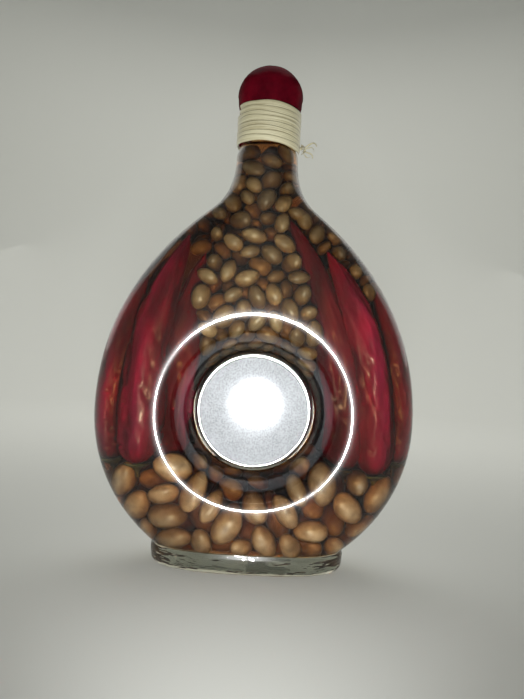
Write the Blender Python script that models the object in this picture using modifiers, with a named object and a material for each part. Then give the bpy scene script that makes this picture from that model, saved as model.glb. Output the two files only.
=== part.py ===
"""Ring-shaped glass oil flask with a pulled-in centre, filled with chillies, beans and oil.

The flask stands on its foot. Its front, with the cast disc, faces -Y. Units are metres.
Run with: blender --background --python part.py
"""

import math

import bmesh
import bpy
from mathutils import Vector

# ---- driving dimensions -----------------------------------------------------------------------
GAP = 0.0003  # clearance that touching pieces keep
WALL = 0.003  # glass thickness
BODY_RADIUS = 0.0785  # round lower part of the front outline
BODY_CENTRE_Z = 0.0735
NECK_RADIUS = 0.01535
FOOT_TOP_Z = 0.0105
FOOT_EDGE_RADIUS = 0.004
FLOOR_Z = 0.008  # top of the thick glass base
NECK_ROOT_Z = 0.176  # height where the shoulder becomes the neck
NECK_TOP_Z = 0.2002
RECESS_Z = 0.076  # centre of the dished middle
RECESS_RIM_RADIUS = 0.054
WEB_HALF = 0.0032  # half the glass thickness at the middle
ROUNDING = 0.004  # how softly the recess wall meets the outer swell

MOUTH_Z = 0.229
MOUTH_RADIUS = 0.0138
BORE_RADIUS = 0.00925  # 18.5 mm cork finish
BORE_BOTTOM_Z = 0.205
BORE_FLARE_Z = 0.1995

SHANK_BOTTOM_Z = 0.208
SHANK_RADIUS = 0.00895
SOCKET_DEPTH = 0.006
HEAD_RADIUS = 0.0147
HEAD_SHOULDER_Z = 0.234
HEAD_TOP_Z = 0.2449
WAX_RADIUS = 0.0165
WAX_TOP_Z = 0.2467
WAX_SPLIT_Z = 0.2245  # the wax cracks here, level with the top of the raffia
COLLAR_RADIUS = 0.01495
COLLAR_BOTTOM_Z = 0.2075

RAFFIA_RADIUS = 0.01575  # centre of the wound ribbon
RAFFIA_BOTTOM_Z = 0.20535
RAFFIA_TURNS = 3.43
RIBBON_HALF_WIDTH = 0.001
RIBBON_HALF_THICKNESS = 0.00045
RIBBON_PITCH = 0.0023
KNOT_TUBE_RADIUS = 0.0007
TAIL_TUBE_RADIUS = 0.0005

DISC_RADIUS = 0.0263
DISC_THICKNESS = 0.0028
DISC_EDGE = 0.0006
GLUE_RADIUS = 0.024
GLUE_THICKNESS = 0.0006

BED_INSET = WALL + 0.0008
LOWER_BED_TOP_Z = 0.043
UPPER_BED_TOP_Z = 0.196
OIL_TOP_Z = 0.2065
STALK_LENGTH = 0.006

# Outlines as cubic Bezier curves of (half size, height).
SHOULDER_LEAN = 0.914  # radians from the vertical where the shoulder is straight
SHOULDER = Vector((0.0276, 0.1737))
LEAN = Vector((-math.sin(SHOULDER_LEAN), math.cos(SHOULDER_LEAN)))
WIDTH_CURVES = (
    ((BODY_RADIUS, BODY_CENTRE_Z), (BODY_RADIUS, 0.0990), tuple(SHOULDER - 0.0544 * LEAN), tuple(SHOULDER)),
    (tuple(SHOULDER), tuple(SHOULDER + 0.005 * LEAN), (NECK_RADIUS, 0.1832), (NECK_RADIUS, NECK_TOP_Z)),
)
DEPTH_CURVES = (
    ((0.0202, FOOT_TOP_Z), (0.0235, 0.026), (0.029, 0.040), (0.029, RECESS_Z)),
    ((0.029, RECESS_Z), (0.029, 0.136), (NECK_RADIUS, 0.172), (NECK_RADIUS, NECK_TOP_Z)),
)
# Recess profiles as one cubic Bezier of (radius from the recess centre, half depth).
OUTER_RECESS = ((0.0273, WEB_HALF), (0.0343, WEB_HALF), (0.032, 0.027), (RECESS_RIM_RADIUS, 0.027))
INNER_RECESS = ((0.033, 0.0), (0.033, 0.008), (0.0365, 0.024), (RECESS_RIM_RADIUS, 0.024))

# Mesh steps of the flask.
SIDE_STEPS = 14
END_STEPS = 12
RECESS_STEPS = 6
SWELL_STEPS = 4
TURN_STEPS = 32

# Chillies: (stem end, control point, tip, greatest radius).
PODS = {
    "chilli_left_outer": ((-0.064, -0.004, 0.051), (-0.073, -0.005, 0.092), (-0.052, -0.004, 0.138), 0.0072),
    "chilli_left_middle": ((-0.053, -0.012, 0.050), (-0.057, -0.014, 0.105), (-0.034, -0.008, 0.159), 0.0070),
    "chilli_left_inner": ((-0.041, -0.006, 0.050), (-0.042, -0.010, 0.100), (-0.027, -0.009, 0.140), 0.0058),
    "chilli_left_rear": ((-0.056, 0.009, 0.052), (-0.062, 0.011, 0.090), (-0.042, 0.008, 0.146), 0.0074),
    "chilli_left_back": ((-0.042, 0.009, 0.052), (-0.045, 0.012, 0.090), (-0.028, 0.011, 0.130), 0.0060),
    "chilli_right_inner": ((0.044, -0.009, 0.052), (0.047, -0.015, 0.110), (0.011, -0.008, 0.169), 0.0060),
    "chilli_right_middle": ((0.0570, -0.010, 0.050), (0.0595, -0.015, 0.108), (0.030, -0.010, 0.154), 0.0064),
    "chilli_right_outer": ((0.0655, -0.003, 0.056), (0.073, -0.003, 0.093), (0.052, -0.004, 0.138), 0.0058),
    "chilli_right_low": ((0.052, 0.003, 0.050), (0.054, 0.001, 0.076), (0.047, 0.001, 0.110), 0.0052),
    "chilli_right_rear": ((0.060, 0.010, 0.057), (0.0615, 0.011, 0.092), (0.047, 0.009, 0.138), 0.0062),
    "chilli_right_back": ((0.044, 0.012, 0.052), (0.044, 0.013, 0.095), (0.029, 0.011, 0.132), 0.0058),
}
POD_STEPS = 12

# Front outlines (x, z) of the bean beds between the chillies.
UPPER_BED = (
    (-0.020, 0.100), (-0.020, 0.132), (-0.026, 0.152), (-0.036, 0.170), (-0.036, UPPER_BED_TOP_Z),
    (0.020, UPPER_BED_TOP_Z), (0.020, 0.184), (0.0085, 0.172), (0.013, 0.157), (0.0185, 0.145),
    (0.0235, 0.125), (0.0235, 0.100),
)
SHOULDER_BED = (
    (0.022, 0.166), (0.0325, 0.159), (0.042, 0.149), (0.049, 0.143),
    (0.066, 0.143), (0.066, 0.162), (0.044, 0.180), (0.022, 0.180),
)


# ---- scene and materials ----------------------------------------------------------------------
def clear_scene():
    """Removes every object that the file opened with."""
    for old in list(bpy.data.objects):
        bpy.data.objects.remove(old)


def new_collection(name):
    """Makes a collection and links it to the scene."""
    made = bpy.data.collections.new(name)
    bpy.context.scene.collection.children.link(made)
    return made


def material(name, colour, roughness, metallic=0.0, transmission=0.0):
    """Makes a Principled material."""
    made = bpy.data.materials.new(name)
    made.use_nodes = True
    shader = made.node_tree.nodes["Principled BSDF"]
    shader.inputs["Base Color"].default_value = (*colour, 1.0)
    shader.inputs["Roughness"].default_value = roughness
    shader.inputs["Metallic"].default_value = metallic
    shader.inputs["Transmission Weight"].default_value = transmission
    return made


def add_object(name, data, finish, collection):
    """Links an object made from data, with its material."""
    made = bpy.data.objects.new(name, data)
    collection.objects.link(made)
    if finish:
        data.materials.append(finish)
    return made


def shade_round(mesh, angle=math.radians(55)):
    """Shades smooth, keeping edges sharper than angle."""
    mesh.shade_smooth()
    mesh.set_sharp_from_angle(angle=angle)


# ---- curves of the flask ----------------------------------------------------------------------
def bezier(points, t):
    """The point at t on a cubic Bezier of (a, b) pairs."""
    s = 1.0 - t
    weights = (s**3, 3 * s * s * t, 3 * s * t * t, t**3)
    return tuple(sum(w * p[axis] for w, p in zip(weights, points)) for axis in (0, 1))


def curve_value(curves, at, known, wanted):
    """Reads coordinate `wanted` of a chain of curves where coordinate `known`, which only grows, is `at`."""
    for curve in curves:
        if at <= curve[3][known]:
            break
    low, high = 0.0, 1.0
    for _ in range(40):
        middle = (low + high) / 2
        if bezier(curve, middle)[known] < at:
            low = middle
        else:
            high = middle
    return bezier(curve, low)[wanted]


def half_width(z):
    """Half the flask's width at height z: a circle below, then the shoulder curve."""
    if z < BODY_CENTRE_Z:
        return math.sqrt(BODY_RADIUS**2 - (z - BODY_CENTRE_Z) ** 2)
    return curve_value(WIDTH_CURVES, z, 1, 0)


def half_depth(z):
    """Half the flask's depth at height z, as if it had no recess."""
    return curve_value(DEPTH_CURVES, z, 1, 0)


def squareness(z):
    """Exponent of the flask's level sections: a squarish oval below, a circle at the neck."""
    u = min(max((z - 0.120) / 0.065, 0.0), 1.0)
    return 2.6 - 0.6 * u * u * (3 - 2 * u)


def swell(x, z, wall):
    """Half depth of the outer swell at (x, z), inset by wall."""
    share = min(abs(x) / (half_width(z) - wall), 1.0)
    power = squareness(z)
    return (half_depth(z) - wall) * (1 - share**power) ** (1 / power)


def soft_min(a, b):
    """The smaller of two depths, rounded where they meet."""
    h = min(max(0.5 + 0.5 * (b - a) / ROUNDING, 0.0), 1.0)
    return b + (a - b) * h - ROUNDING * h * (1 - h)


class Skin:
    """One face of the glass: the outside, or the inside at a depth of wall."""

    def __init__(self, wall, recess, foot_z, hole_grow=0.0):
        self.wall = wall
        self.recess = tuple((radius + hole_grow, max(depth - hole_grow, 0.0)) for radius, depth in recess)
        self.foot_z = foot_z

    def depth(self, x, z):
        """Half depth of this skin at (x, z)."""
        radius = math.hypot(x, z - RECESS_Z)
        outer = swell(x, z, self.wall)
        if radius >= self.recess[3][0]:
            wall_depth = self.recess[3][1] + (radius - self.recess[3][0]) * 0.35
        else:
            wall_depth = curve_value((self.recess,), max(radius, self.recess[0][0]), 0, 1)
        return max(soft_min(outer, wall_depth), 0.0)

    def width(self, z):
        """Half width of this skin at height z."""
        return half_width(z) - self.wall

    def section(self, z, steps, inset=0.0):
        """The front half of the level oval at height z, from +X round to -X."""
        wide = self.width(z) - inset
        deep = half_depth(z) - self.wall - inset
        power = 2 / squareness(z)
        points = []
        for step in range(steps + 1):
            angle = math.pi * step / steps
            cosine, sine = math.cos(angle), math.sin(angle)
            x = math.copysign(abs(cosine) ** power, cosine) * wide
            points.append(Vector((x, -(max(sine, 0.0) ** power) * deep, z)))
        points[0].y = points[-1].y = 0.0
        return points

    def rim(self):
        """The edge of the dished front, once round: up the right side, over the neck root, down and back."""
        heights = [
            self.foot_z + (NECK_ROOT_Z - self.foot_z) * step / SIDE_STEPS for step in range(SIDE_STEPS + 1)
        ]
        right = [Vector((self.width(z), 0.0, z)) for z in heights]
        top = self.section(NECK_ROOT_Z, END_STEPS)[1:]
        left = [Vector((-p.x, 0.0, p.z)) for p in reversed(right[:-1])]
        bottom = list(reversed(self.section(self.foot_z, END_STEPS)))[1:-1]
        return right + top + left + bottom

    def front_rows(self):
        """Rings of points from the recess out to the rim."""
        rim = self.rim()
        centre = Vector((0.0, 0.0, RECESS_Z))
        rows = []
        for step in range(RECESS_STEPS + 1):
            radius, _ = bezier(self.recess, step / RECESS_STEPS)
            row = []
            for point in rim:
                way = Vector((point.x, 0.0, point.z - RECESS_Z)).normalized()
                spot = centre + way * radius
                spot.y = -self.depth(spot.x, spot.z) if step else -self.recess[0][1]
                row.append(spot)
            rows.append(row)
        lip = rows[-1]
        for step in range(1, SWELL_STEPS):
            share = math.sin(math.pi / 2 * step / SWELL_STEPS)
            row = []
            for start, end in zip(lip, rim):
                x = start.x + (end.x - start.x) * share
                z = start.z + (end.z - start.z) * share
                row.append(Vector((x, -self.depth(x, z), z)))
            rows.append(row)
        rows.append(rim)
        return rows


def add_row(mesh, points):
    """Adds one vertex for each point."""
    return [mesh.verts.new(point) for point in points]


def bridge(mesh, first, second, closed):
    """Quads between two rows of vertices."""
    count = len(first)
    for i in range(count if closed else count - 1):
        j = (i + 1) % count
        mesh.faces.new((first[i], first[j], second[j], second[i]))


def chain(mesh, start, rows):
    """Bridges start to each open row in turn and returns the last row's vertices."""
    for points in rows:
        row = add_row(mesh, points)
        bridge(mesh, start, row, closed=False)
        start = row
    return start


def skin_faces(mesh, skin):
    """Adds the dished front of one skin; returns (hole ring, foot row, neck row)."""
    rows = [add_row(mesh, points) for points in skin.front_rows()]
    for first, second in zip(rows, rows[1:]):
        bridge(mesh, first, second, closed=True)
    rim = rows[-1]
    neck_row = rim[SIDE_STEPS : SIDE_STEPS + END_STEPS + 1]
    foot_row = [rim[0]] + list(reversed(rim[2 * SIDE_STEPS + END_STEPS :]))
    return rows[0], foot_row, neck_row


def round_section(radius, z):
    """The front half of a circle at height z, from +X round to -X."""
    points = []
    for step in range(END_STEPS + 1):
        angle = math.pi * step / END_STEPS
        points.append(Vector((radius * math.cos(angle), -radius * math.sin(angle), z)))
    points[0].y = points[-1].y = 0.0
    return points


def foot_section(z, inset):
    """The front half of the foot's outline, which is plumb, inset at its rounded lower edge."""
    points = OUTSIDE.section(FOOT_TOP_Z, END_STEPS, inset)
    for point in points:
        point.z = z
    return points


def neck_sections(skin):
    """Sections of a skin from just above the neck root to the top of the neck."""
    steps = 4
    rise = NECK_TOP_Z - NECK_ROOT_Z
    return [skin.section(NECK_ROOT_Z + rise * step / steps, END_STEPS) for step in range(1, steps + 1)]


def floor_sections(skin, bottom_z):
    """Sections of a cavity from just below its foot row down to its rounded floor."""
    corner = 0.003
    drop = skin.foot_z - bottom_z
    sections = []
    for share in (0.35, 0.7, 0.9, 1.0):
        z = skin.foot_z - drop * share
        inset = corner * (1 - math.sqrt(1 - share**4))
        sections.append(skin.section(z, END_STEPS, inset))
    return sections


def close_halves(mesh):
    """Mirrors the front half to the back and points every face outwards."""
    everything = mesh.verts[:] + mesh.edges[:] + mesh.faces[:]
    bmesh.ops.mirror(mesh, geom=everything, axis="Y", merge_dist=1e-5)
    bmesh.ops.remove_doubles(mesh, verts=mesh.verts, dist=1e-6)
    bmesh.ops.recalc_face_normals(mesh, faces=mesh.faces)


OUTSIDE = Skin(0.0, OUTER_RECESS, FOOT_TOP_Z)
INSIDE = Skin(WALL, INNER_RECESS, 0.014)
BED_SPACE = Skin(BED_INSET, INNER_RECESS, 0.0145, hole_grow=0.0012)


def flask_mesh():
    """The whole glass: outside, mouth, bore and cavity as one closed surface."""
    mesh = bmesh.new()
    web_ring, foot_row, neck_row = skin_faces(mesh, OUTSIDE)
    mesh.faces.new(web_ring)
    edge = [(FOOT_EDGE_RADIUS, 0.0)]
    for turn in (30, 60, 90):
        angle = math.radians(turn)
        drop = FOOT_EDGE_RADIUS * math.sin(angle)
        edge.append((FOOT_EDGE_RADIUS - drop, FOOT_EDGE_RADIUS * (1 - math.cos(angle))))
    sole = chain(mesh, foot_row, [foot_section(z, inset) for z, inset in edge])
    mesh.faces.new(sole)

    _, floor_row, inner_neck_row = skin_faces(mesh, INSIDE)
    floor = chain(mesh, floor_row, floor_sections(INSIDE, FLOOR_Z))
    mesh.faces.new(floor)

    finish = [round_section(radius, z) for radius, z in (
        (NECK_RADIUS - 0.0004, 0.2025),
        (MOUTH_RADIUS, 0.2065),
        (MOUTH_RADIUS, MOUTH_Z - 0.001),
        (MOUTH_RADIUS - 0.001, MOUTH_Z),
        (BORE_RADIUS + 0.001, MOUTH_Z),
        (BORE_RADIUS, MOUTH_Z - 0.001),
        (BORE_RADIUS, BORE_BOTTOM_Z),
    )]
    bore = chain(mesh, neck_row, neck_sections(OUTSIDE) + finish)
    inner = list(reversed(neck_sections(INSIDE)[:-1]))
    flare = [round_section(NECK_RADIUS - WALL, BORE_FLARE_Z)]
    last = chain(mesh, bore, flare + inner)
    bridge(mesh, last, inner_neck_row, closed=False)
    close_halves(mesh)
    return finished(mesh, "flask")


def bed_space_mesh():
    """The inside of the flask as a solid, a little clear of the glass, for cutting the bean beds."""
    mesh = bmesh.new()
    _, floor_row, neck_row = skin_faces(mesh, BED_SPACE)
    floor = chain(mesh, floor_row, floor_sections(BED_SPACE, FLOOR_Z + 0.0008))
    mesh.faces.new(floor)
    top = chain(mesh, neck_row, neck_sections(BED_SPACE)[:-1])
    mesh.faces.new(top)
    close_halves(mesh)
    return finished(mesh, "bed_space")


def finished(mesh, name):
    """Turns a bmesh into a smooth-shaded mesh."""
    data = bpy.data.meshes.new(name)
    mesh.to_mesh(data)
    mesh.free()
    shade_round(data)
    return data


# ---- general shapes ---------------------------------------------------------------------------
def turned(name, profile, finish, collection, axis_y=False):
    """A turned solid from (radius, height) pairs that run down its outer side."""
    data = bpy.data.meshes.new(name)
    points = [(radius, 0.0, height) for radius, height in profile]
    data.from_pydata(points, [(i, i + 1) for i in range(len(points) - 1)], [])
    made = add_object(name, data, finish, collection)
    screw = made.modifiers.new("turn", "SCREW")
    screw.steps = screw.render_steps = TURN_STEPS
    screw.use_merge_vertices = True
    screw.merge_threshold = 0.00002
    screw.use_smooth_shade = True
    if axis_y:
        made.rotation_euler = (math.pi / 2, 0.0, 0.0)
    return made


def tube(name, points, radii, finish, collection, sides=2):
    """A solid along points, as thick as the radii say, with closed ends."""
    data = bpy.data.curves.new(name, "CURVE")
    data.dimensions = "3D"
    data.bevel_depth = 1.0
    data.bevel_resolution = sides
    data.use_fill_caps = True
    line = data.splines.new("POLY")
    line.points.add(len(points) - 1)
    for spot, point, radius in zip(line.points, points, radii):
        spot.co = (*point, 1.0)
        spot.radius = radius
    return add_object(name, data, finish, collection)


def ribbon(name, points, finish, collection):
    """A flat ribbon, upright in section, along points."""
    data = bpy.data.curves.new(name, "CURVE")
    data.dimensions = "3D"
    data.twist_mode = "Z_UP"
    data.extrude = RIBBON_HALF_WIDTH - RIBBON_HALF_THICKNESS
    data.bevel_depth = RIBBON_HALF_THICKNESS
    data.bevel_resolution = 0
    data.use_fill_caps = True
    line = data.splines.new("POLY")
    line.points.add(len(points) - 1)
    for spot, point in zip(line.points, points):
        spot.co = (*point, 1.0)
    return add_object(name, data, finish, collection)


def prism(name, outline, half_depth_y, collection):
    """A hidden cutter: an (x, z) outline extruded both ways along Y."""
    data = bpy.data.curves.new(name, "CURVE")
    data.dimensions = "2D"
    data.fill_mode = "BOTH"
    data.extrude = half_depth_y
    line = data.splines.new("POLY")
    line.points.add(len(outline) - 1)
    for spot, (x, z) in zip(line.points, outline):
        spot.co = (x, z, 0.0, 1.0)
    line.use_cyclic_u = True
    curve = add_object(name, data, None, collection)
    curve.rotation_euler = (math.pi / 2, 0.0, 0.0)
    bpy.context.view_layer.update()
    solid = bpy.data.meshes.new_from_object(curve.evaluated_get(bpy.context.evaluated_depsgraph_get()))
    mesh = bmesh.new()
    mesh.from_mesh(solid)
    bmesh.ops.remove_doubles(mesh, verts=mesh.verts, dist=1e-6)
    bmesh.ops.recalc_face_normals(mesh, faces=mesh.faces)
    mesh.to_mesh(solid)
    mesh.free()
    cutter = add_object(name + "_cutter", solid, None, collection)
    cutter.matrix_world = curve.matrix_world.copy()
    bpy.data.objects.remove(curve)
    cutter.hide_render = True
    cutter.display_type = "WIRE"
    return cutter


# ---- the pieces -------------------------------------------------------------------------------
def make_stopper(finishes, collection):
    """The cork shank, the turned head that it is glued into, and the wax over the head."""
    socket_top = MOUTH_Z + GAP + SOCKET_DEPTH
    turned("cork_shank", (
        (0.0, socket_top - GAP),
        (SHANK_RADIUS - 0.0005, socket_top - GAP),
        (SHANK_RADIUS, socket_top - GAP - 0.0005),
        (SHANK_RADIUS, 0.216),
        (SHANK_RADIUS - 0.0006, SHANK_BOTTOM_Z + 0.0006),
        (SHANK_RADIUS - 0.0012, SHANK_BOTTOM_Z),
        (0.0, SHANK_BOTTOM_Z),
    ), finishes["cork"], collection)

    head_bottom = MOUTH_Z + GAP
    dome = dome_points(HEAD_RADIUS, HEAD_SHOULDER_Z, HEAD_TOP_Z)
    turned("stopper_head", (
        *dome,
        (HEAD_RADIUS, head_bottom + 0.001),
        (HEAD_RADIUS - 0.001, head_bottom),
        (SHANK_RADIUS + GAP, head_bottom),
        (SHANK_RADIUS + GAP, socket_top),
        (0.0, socket_top),
    ), finishes["wood"], collection)

    skirt_bottom = WAX_SPLIT_Z + GAP
    skirt_inner = MOUTH_RADIUS + GAP
    inner = list(reversed(dome_points(HEAD_RADIUS + GAP, HEAD_SHOULDER_Z, HEAD_TOP_Z + GAP)))
    turned("wax_cap", (
        *dome_points(WAX_RADIUS, HEAD_SHOULDER_Z, WAX_TOP_Z),
        (WAX_RADIUS - 0.0003, 0.2295),
        (WAX_RADIUS - 0.0010, skirt_bottom + 0.0005),
        (WAX_RADIUS - 0.0013, skirt_bottom),
        (skirt_inner, skirt_bottom),
        (skirt_inner, MOUTH_Z),
        (HEAD_RADIUS + GAP, MOUTH_Z + GAP),
        *inner,
    ), finishes["wax"], collection)


def dome_points(radius, shoulder_z, top_z, steps=8):
    """A quarter ellipse from the axis at the top out to the shoulder."""
    rise = top_z - shoulder_z
    angles = [math.pi / 2 * step / steps for step in range(steps + 1)]
    points = [(radius * math.sin(angle), shoulder_z + rise * math.cos(angle)) for angle in angles]
    return [(0.0, top_z)] + points[1:]


def make_collar(finishes, collection):
    """The ring of wax that stays on the mouth, under the raffia."""
    inner = MOUTH_RADIUS + GAP
    turned("wax_collar", (
        (inner, WAX_SPLIT_Z),
        (COLLAR_RADIUS, WAX_SPLIT_Z),
        (COLLAR_RADIUS, COLLAR_BOTTOM_Z + 0.0005),
        (COLLAR_RADIUS - 0.0004, COLLAR_BOTTOM_Z),
        (inner, COLLAR_BOTTOM_Z),
        (inner, WAX_SPLIT_Z),
    ), finishes["wax"], collection)


def make_raffia(finishes, collection):
    """Two ribbons wound side by side round the neck, their knot and the two cut tails."""
    steps_per_turn = 20
    count = round(RAFFIA_TURNS * steps_per_turn) + 1
    for name, start in (("raffia_first_strand", 0.0), ("raffia_second_strand", RIBBON_PITCH)):
        points = []
        for i in range(count):
            turn = i / steps_per_turn
            angle = 2 * math.pi * turn
            z = RAFFIA_BOTTOM_Z + start + 2 * RIBBON_PITCH * turn
            points.append((RAFFIA_RADIUS * math.cos(angle), -RAFFIA_RADIUS * math.sin(angle), z))
        ribbon(name, points, finishes["raffia"], collection)

    knot_x = RAFFIA_RADIUS + RIBBON_HALF_THICKNESS + GAP + KNOT_TUBE_RADIUS
    knot = []
    for i in range(9):
        angle = 2 * math.pi * 0.86 * i / 8
        knot.append((knot_x + 0.0003 * i / 8, 0.0012 * math.cos(angle) + 0.0001 * i, 0.2072 + 0.0014 * math.sin(angle)))
    tube("raffia_knot", knot, [KNOT_TUBE_RADIUS] * 9, finishes["raffia"], collection)
    tails = {
        "raffia_upper_tail": ((knot_x + 0.0013, -0.0012, 0.2079), (0.0008, -0.0008, 0.0008), -0.0026),
        "raffia_lower_tail": ((knot_x + 0.0009, -0.0010, 0.2047), (0.0009, -0.0003, -0.0006), -0.0009),
    }
    for name, (start, way, droop) in tails.items():
        points = []
        for i in range(6):
            points.append((start[0] + way[0] * i, start[1] + way[1] * i, start[2] + way[2] * i + droop * (i / 5) ** 2))
        tube(name, points, [TAIL_TUBE_RADIUS] * 6, finishes["raffia"], collection)


def make_disc(finishes, collection):
    """The cast disc and the pad of glue that holds it to the web of glass."""
    glue_back = WEB_HALF + GAP
    disc_back = glue_back + GLUE_THICKNESS + GAP
    disc_front = disc_back + DISC_THICKNESS
    glue = turned("glue_pad", (
        (0.0, glue_back + GLUE_THICKNESS),
        (GLUE_RADIUS, glue_back + GLUE_THICKNESS),
        (GLUE_RADIUS, glue_back),
        (0.0, glue_back),
    ), finishes["glue"], collection, axis_y=True)
    disc = turned("cast_disc", (
        (0.0, disc_front),
        (DISC_RADIUS - DISC_EDGE, disc_front),
        (DISC_RADIUS - 0.3 * DISC_EDGE, disc_front - 0.3 * DISC_EDGE),
        (DISC_RADIUS, disc_front - DISC_EDGE),
        (DISC_RADIUS, disc_back),
        (0.0, disc_back),
    ), finishes["metal"], collection, axis_y=True)
    for piece in (glue, disc):
        piece.location = (0.0, 0.0, RECESS_Z)


def pod_radius(share):
    """A pod's thickness along its length: a blunt shoulder, then a long taper to the tip."""
    shoulder = math.sqrt(1 - (1 - min(share / 0.1, 1.0)) ** 2)
    taper = (1 - max((share - 0.1) / 0.9, 0.0) ** 2) ** 0.85
    return max(shoulder * taper, 0.1)


def make_chillies(finishes, collection):
    """Each chilli's pod, and its calyx with the trimmed stem."""
    for name, (stem_end, control, tip, radius) in PODS.items():
        start, middle, end = Vector(stem_end), Vector(control), Vector(tip)
        points, radii = [], []
        for step in range(POD_STEPS + 1):
            share = (step / POD_STEPS) ** 1.4
            spot = (1 - share) ** 2 * start + 2 * (1 - share) * share * middle + share**2 * end
            points.append(spot)
            radii.append(radius * max(pod_radius(share), 0.35 if step == 0 else 0.0))
        tube(name, points, radii, finishes["chilli"], collection, sides=3)
        way = (start - middle).normalized()
        stalk = [start + way * (GAP + STALK_LENGTH * share) for share in (0.0, 0.15, 0.35, 0.5, 1.0)]
        widths = [radius * share for share in (0.55, 0.5, 0.25, 0.17, 0.17)]
        tube(name.replace("chilli", "stalk"), stalk, widths, finishes["stalk"], collection)


def make_beds(finishes, collection, cutters):
    """The beans, as one solid for each place where they lie packed between the chillies."""
    space = bed_space_mesh()
    lower = ((-0.09, 0.0), (0.09, 0.0), (0.09, LOWER_BED_TOP_Z), (-0.09, LOWER_BED_TOP_Z))
    for name, outline in (
        ("bean_bed_lower", lower),
        ("bean_bed_upper", UPPER_BED),
        ("bean_bed_shoulder", SHOULDER_BED),
    ):
        bed = add_object(name, space.copy(), finishes["bean"], collection)
        cut = bed.modifiers.new("keep_inside", "BOOLEAN")
        cut.operation = "INTERSECT"
        cut.solver = "EXACT"
        cut.object = prism(name, outline, 0.06, cutters)


def make_oil(finishes, collection):
    """The column of oil above the beans, up to its level in the neck."""
    neck_inner = NECK_RADIUS - WALL - GAP
    turned("oil_column", (
        (0.0, OIL_TOP_Z),
        (BORE_RADIUS - GAP, OIL_TOP_Z),
        (BORE_RADIUS - GAP, BORE_BOTTOM_Z),
        (neck_inner, BORE_FLARE_Z - GAP),
        (neck_inner, UPPER_BED_TOP_Z + GAP),
        (0.0, UPPER_BED_TOP_Z + GAP),
    ), finishes["oil"], collection)


def main():
    """Builds every piece of the flask."""
    clear_scene()
    collection = new_collection("oil_flask")
    cutters = new_collection("cutters")
    cutters.hide_render = True
    finishes = {
        "glass": material("clear_glass", (0.86, 0.92, 0.86), 0.02, transmission=1.0),
        "cork": material("cork", (0.55, 0.38, 0.22), 0.9),
        "wood": material("turned_wood", (0.62, 0.45, 0.28), 0.6),
        "wax": material("red_wax", (0.16, 0.008, 0.02), 0.35),
        "raffia": material("raffia", (0.66, 0.62, 0.42), 0.55),
        "metal": material("cast_pewter", (0.72, 0.73, 0.74), 0.4, metallic=1.0),
        "glue": material("clear_glue", (0.85, 0.85, 0.78), 0.3),
        "chilli": material("red_chilli", (0.30, 0.01, 0.012), 0.3),
        "stalk": material("green_calyx", (0.09, 0.11, 0.05), 0.6),
        "bean": material("brown_bean", (0.30, 0.15, 0.05), 0.4),
        "oil": material("chilli_oil", (0.75, 0.45, 0.08), 0.05, transmission=1.0),
    }
    add_object("glass_flask", flask_mesh(), finishes["glass"], collection)
    make_stopper(finishes, collection)
    make_collar(finishes, collection)
    make_raffia(finishes, collection)
    make_disc(finishes, collection)
    make_chillies(finishes, collection)
    make_beds(finishes, collection, cutters)
    make_oil(finishes, collection)


main()
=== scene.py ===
"""The looks of a ring-shaped glass oil flask: glass, oil, chillies, beans, disc, raffia and wax.

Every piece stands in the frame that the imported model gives. Units are metres, +Z is up and the
flask's front, with the cast disc, faces -Y.
"""

from __future__ import annotations

import logging
import math
from dataclasses import dataclass, field
from enum import Enum
from typing import Any, Callable, Sequence

import bpy
import numpy as np
from mathutils import Matrix, Vector, noise
from mathutils.bvhtree import BVHTree

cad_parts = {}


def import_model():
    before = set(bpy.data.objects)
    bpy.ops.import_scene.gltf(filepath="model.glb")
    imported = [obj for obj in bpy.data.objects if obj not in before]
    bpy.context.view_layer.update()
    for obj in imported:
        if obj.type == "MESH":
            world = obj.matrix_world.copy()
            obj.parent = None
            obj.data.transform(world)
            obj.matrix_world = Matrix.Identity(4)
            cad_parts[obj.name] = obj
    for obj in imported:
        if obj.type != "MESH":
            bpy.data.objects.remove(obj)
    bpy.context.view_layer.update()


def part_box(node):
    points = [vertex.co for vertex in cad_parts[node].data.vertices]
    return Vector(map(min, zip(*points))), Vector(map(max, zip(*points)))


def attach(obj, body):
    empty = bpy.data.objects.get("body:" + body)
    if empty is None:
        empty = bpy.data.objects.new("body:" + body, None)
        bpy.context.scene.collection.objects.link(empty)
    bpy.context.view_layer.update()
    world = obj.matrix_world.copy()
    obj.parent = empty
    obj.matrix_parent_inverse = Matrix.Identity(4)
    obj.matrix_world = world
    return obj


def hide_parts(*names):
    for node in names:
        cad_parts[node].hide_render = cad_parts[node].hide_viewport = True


logging.basicConfig(level=logging.INFO, format="%(levelname)s %(message)s")
LOG = logging.getLogger("flask")

Piece = bpy.types.Object
Socket = bpy.types.NodeSocket
Colour = tuple[float, float, float]
Point = tuple[float, float, float]
Pair = tuple[float, float]
Curve = Sequence[Pair]

MM = 0.001
WELD = 0.000004  # vertices closer than this are one


# ---- modelling helpers ------------------------------------------------------------------------
def deselect() -> None:
    """Leaves edit mode and deselects everything."""
    if bpy.context.object is not None and bpy.context.object.mode != "OBJECT":
        bpy.ops.object.mode_set(mode="OBJECT")
    bpy.ops.object.select_all(action="DESELECT")


def pick(piece: Piece) -> None:
    """Makes piece the only selected object and the active one.

    Args:
        piece: The object to pick.
    """
    deselect()
    piece.select_set(True)
    bpy.context.view_layer.objects.active = piece


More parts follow.
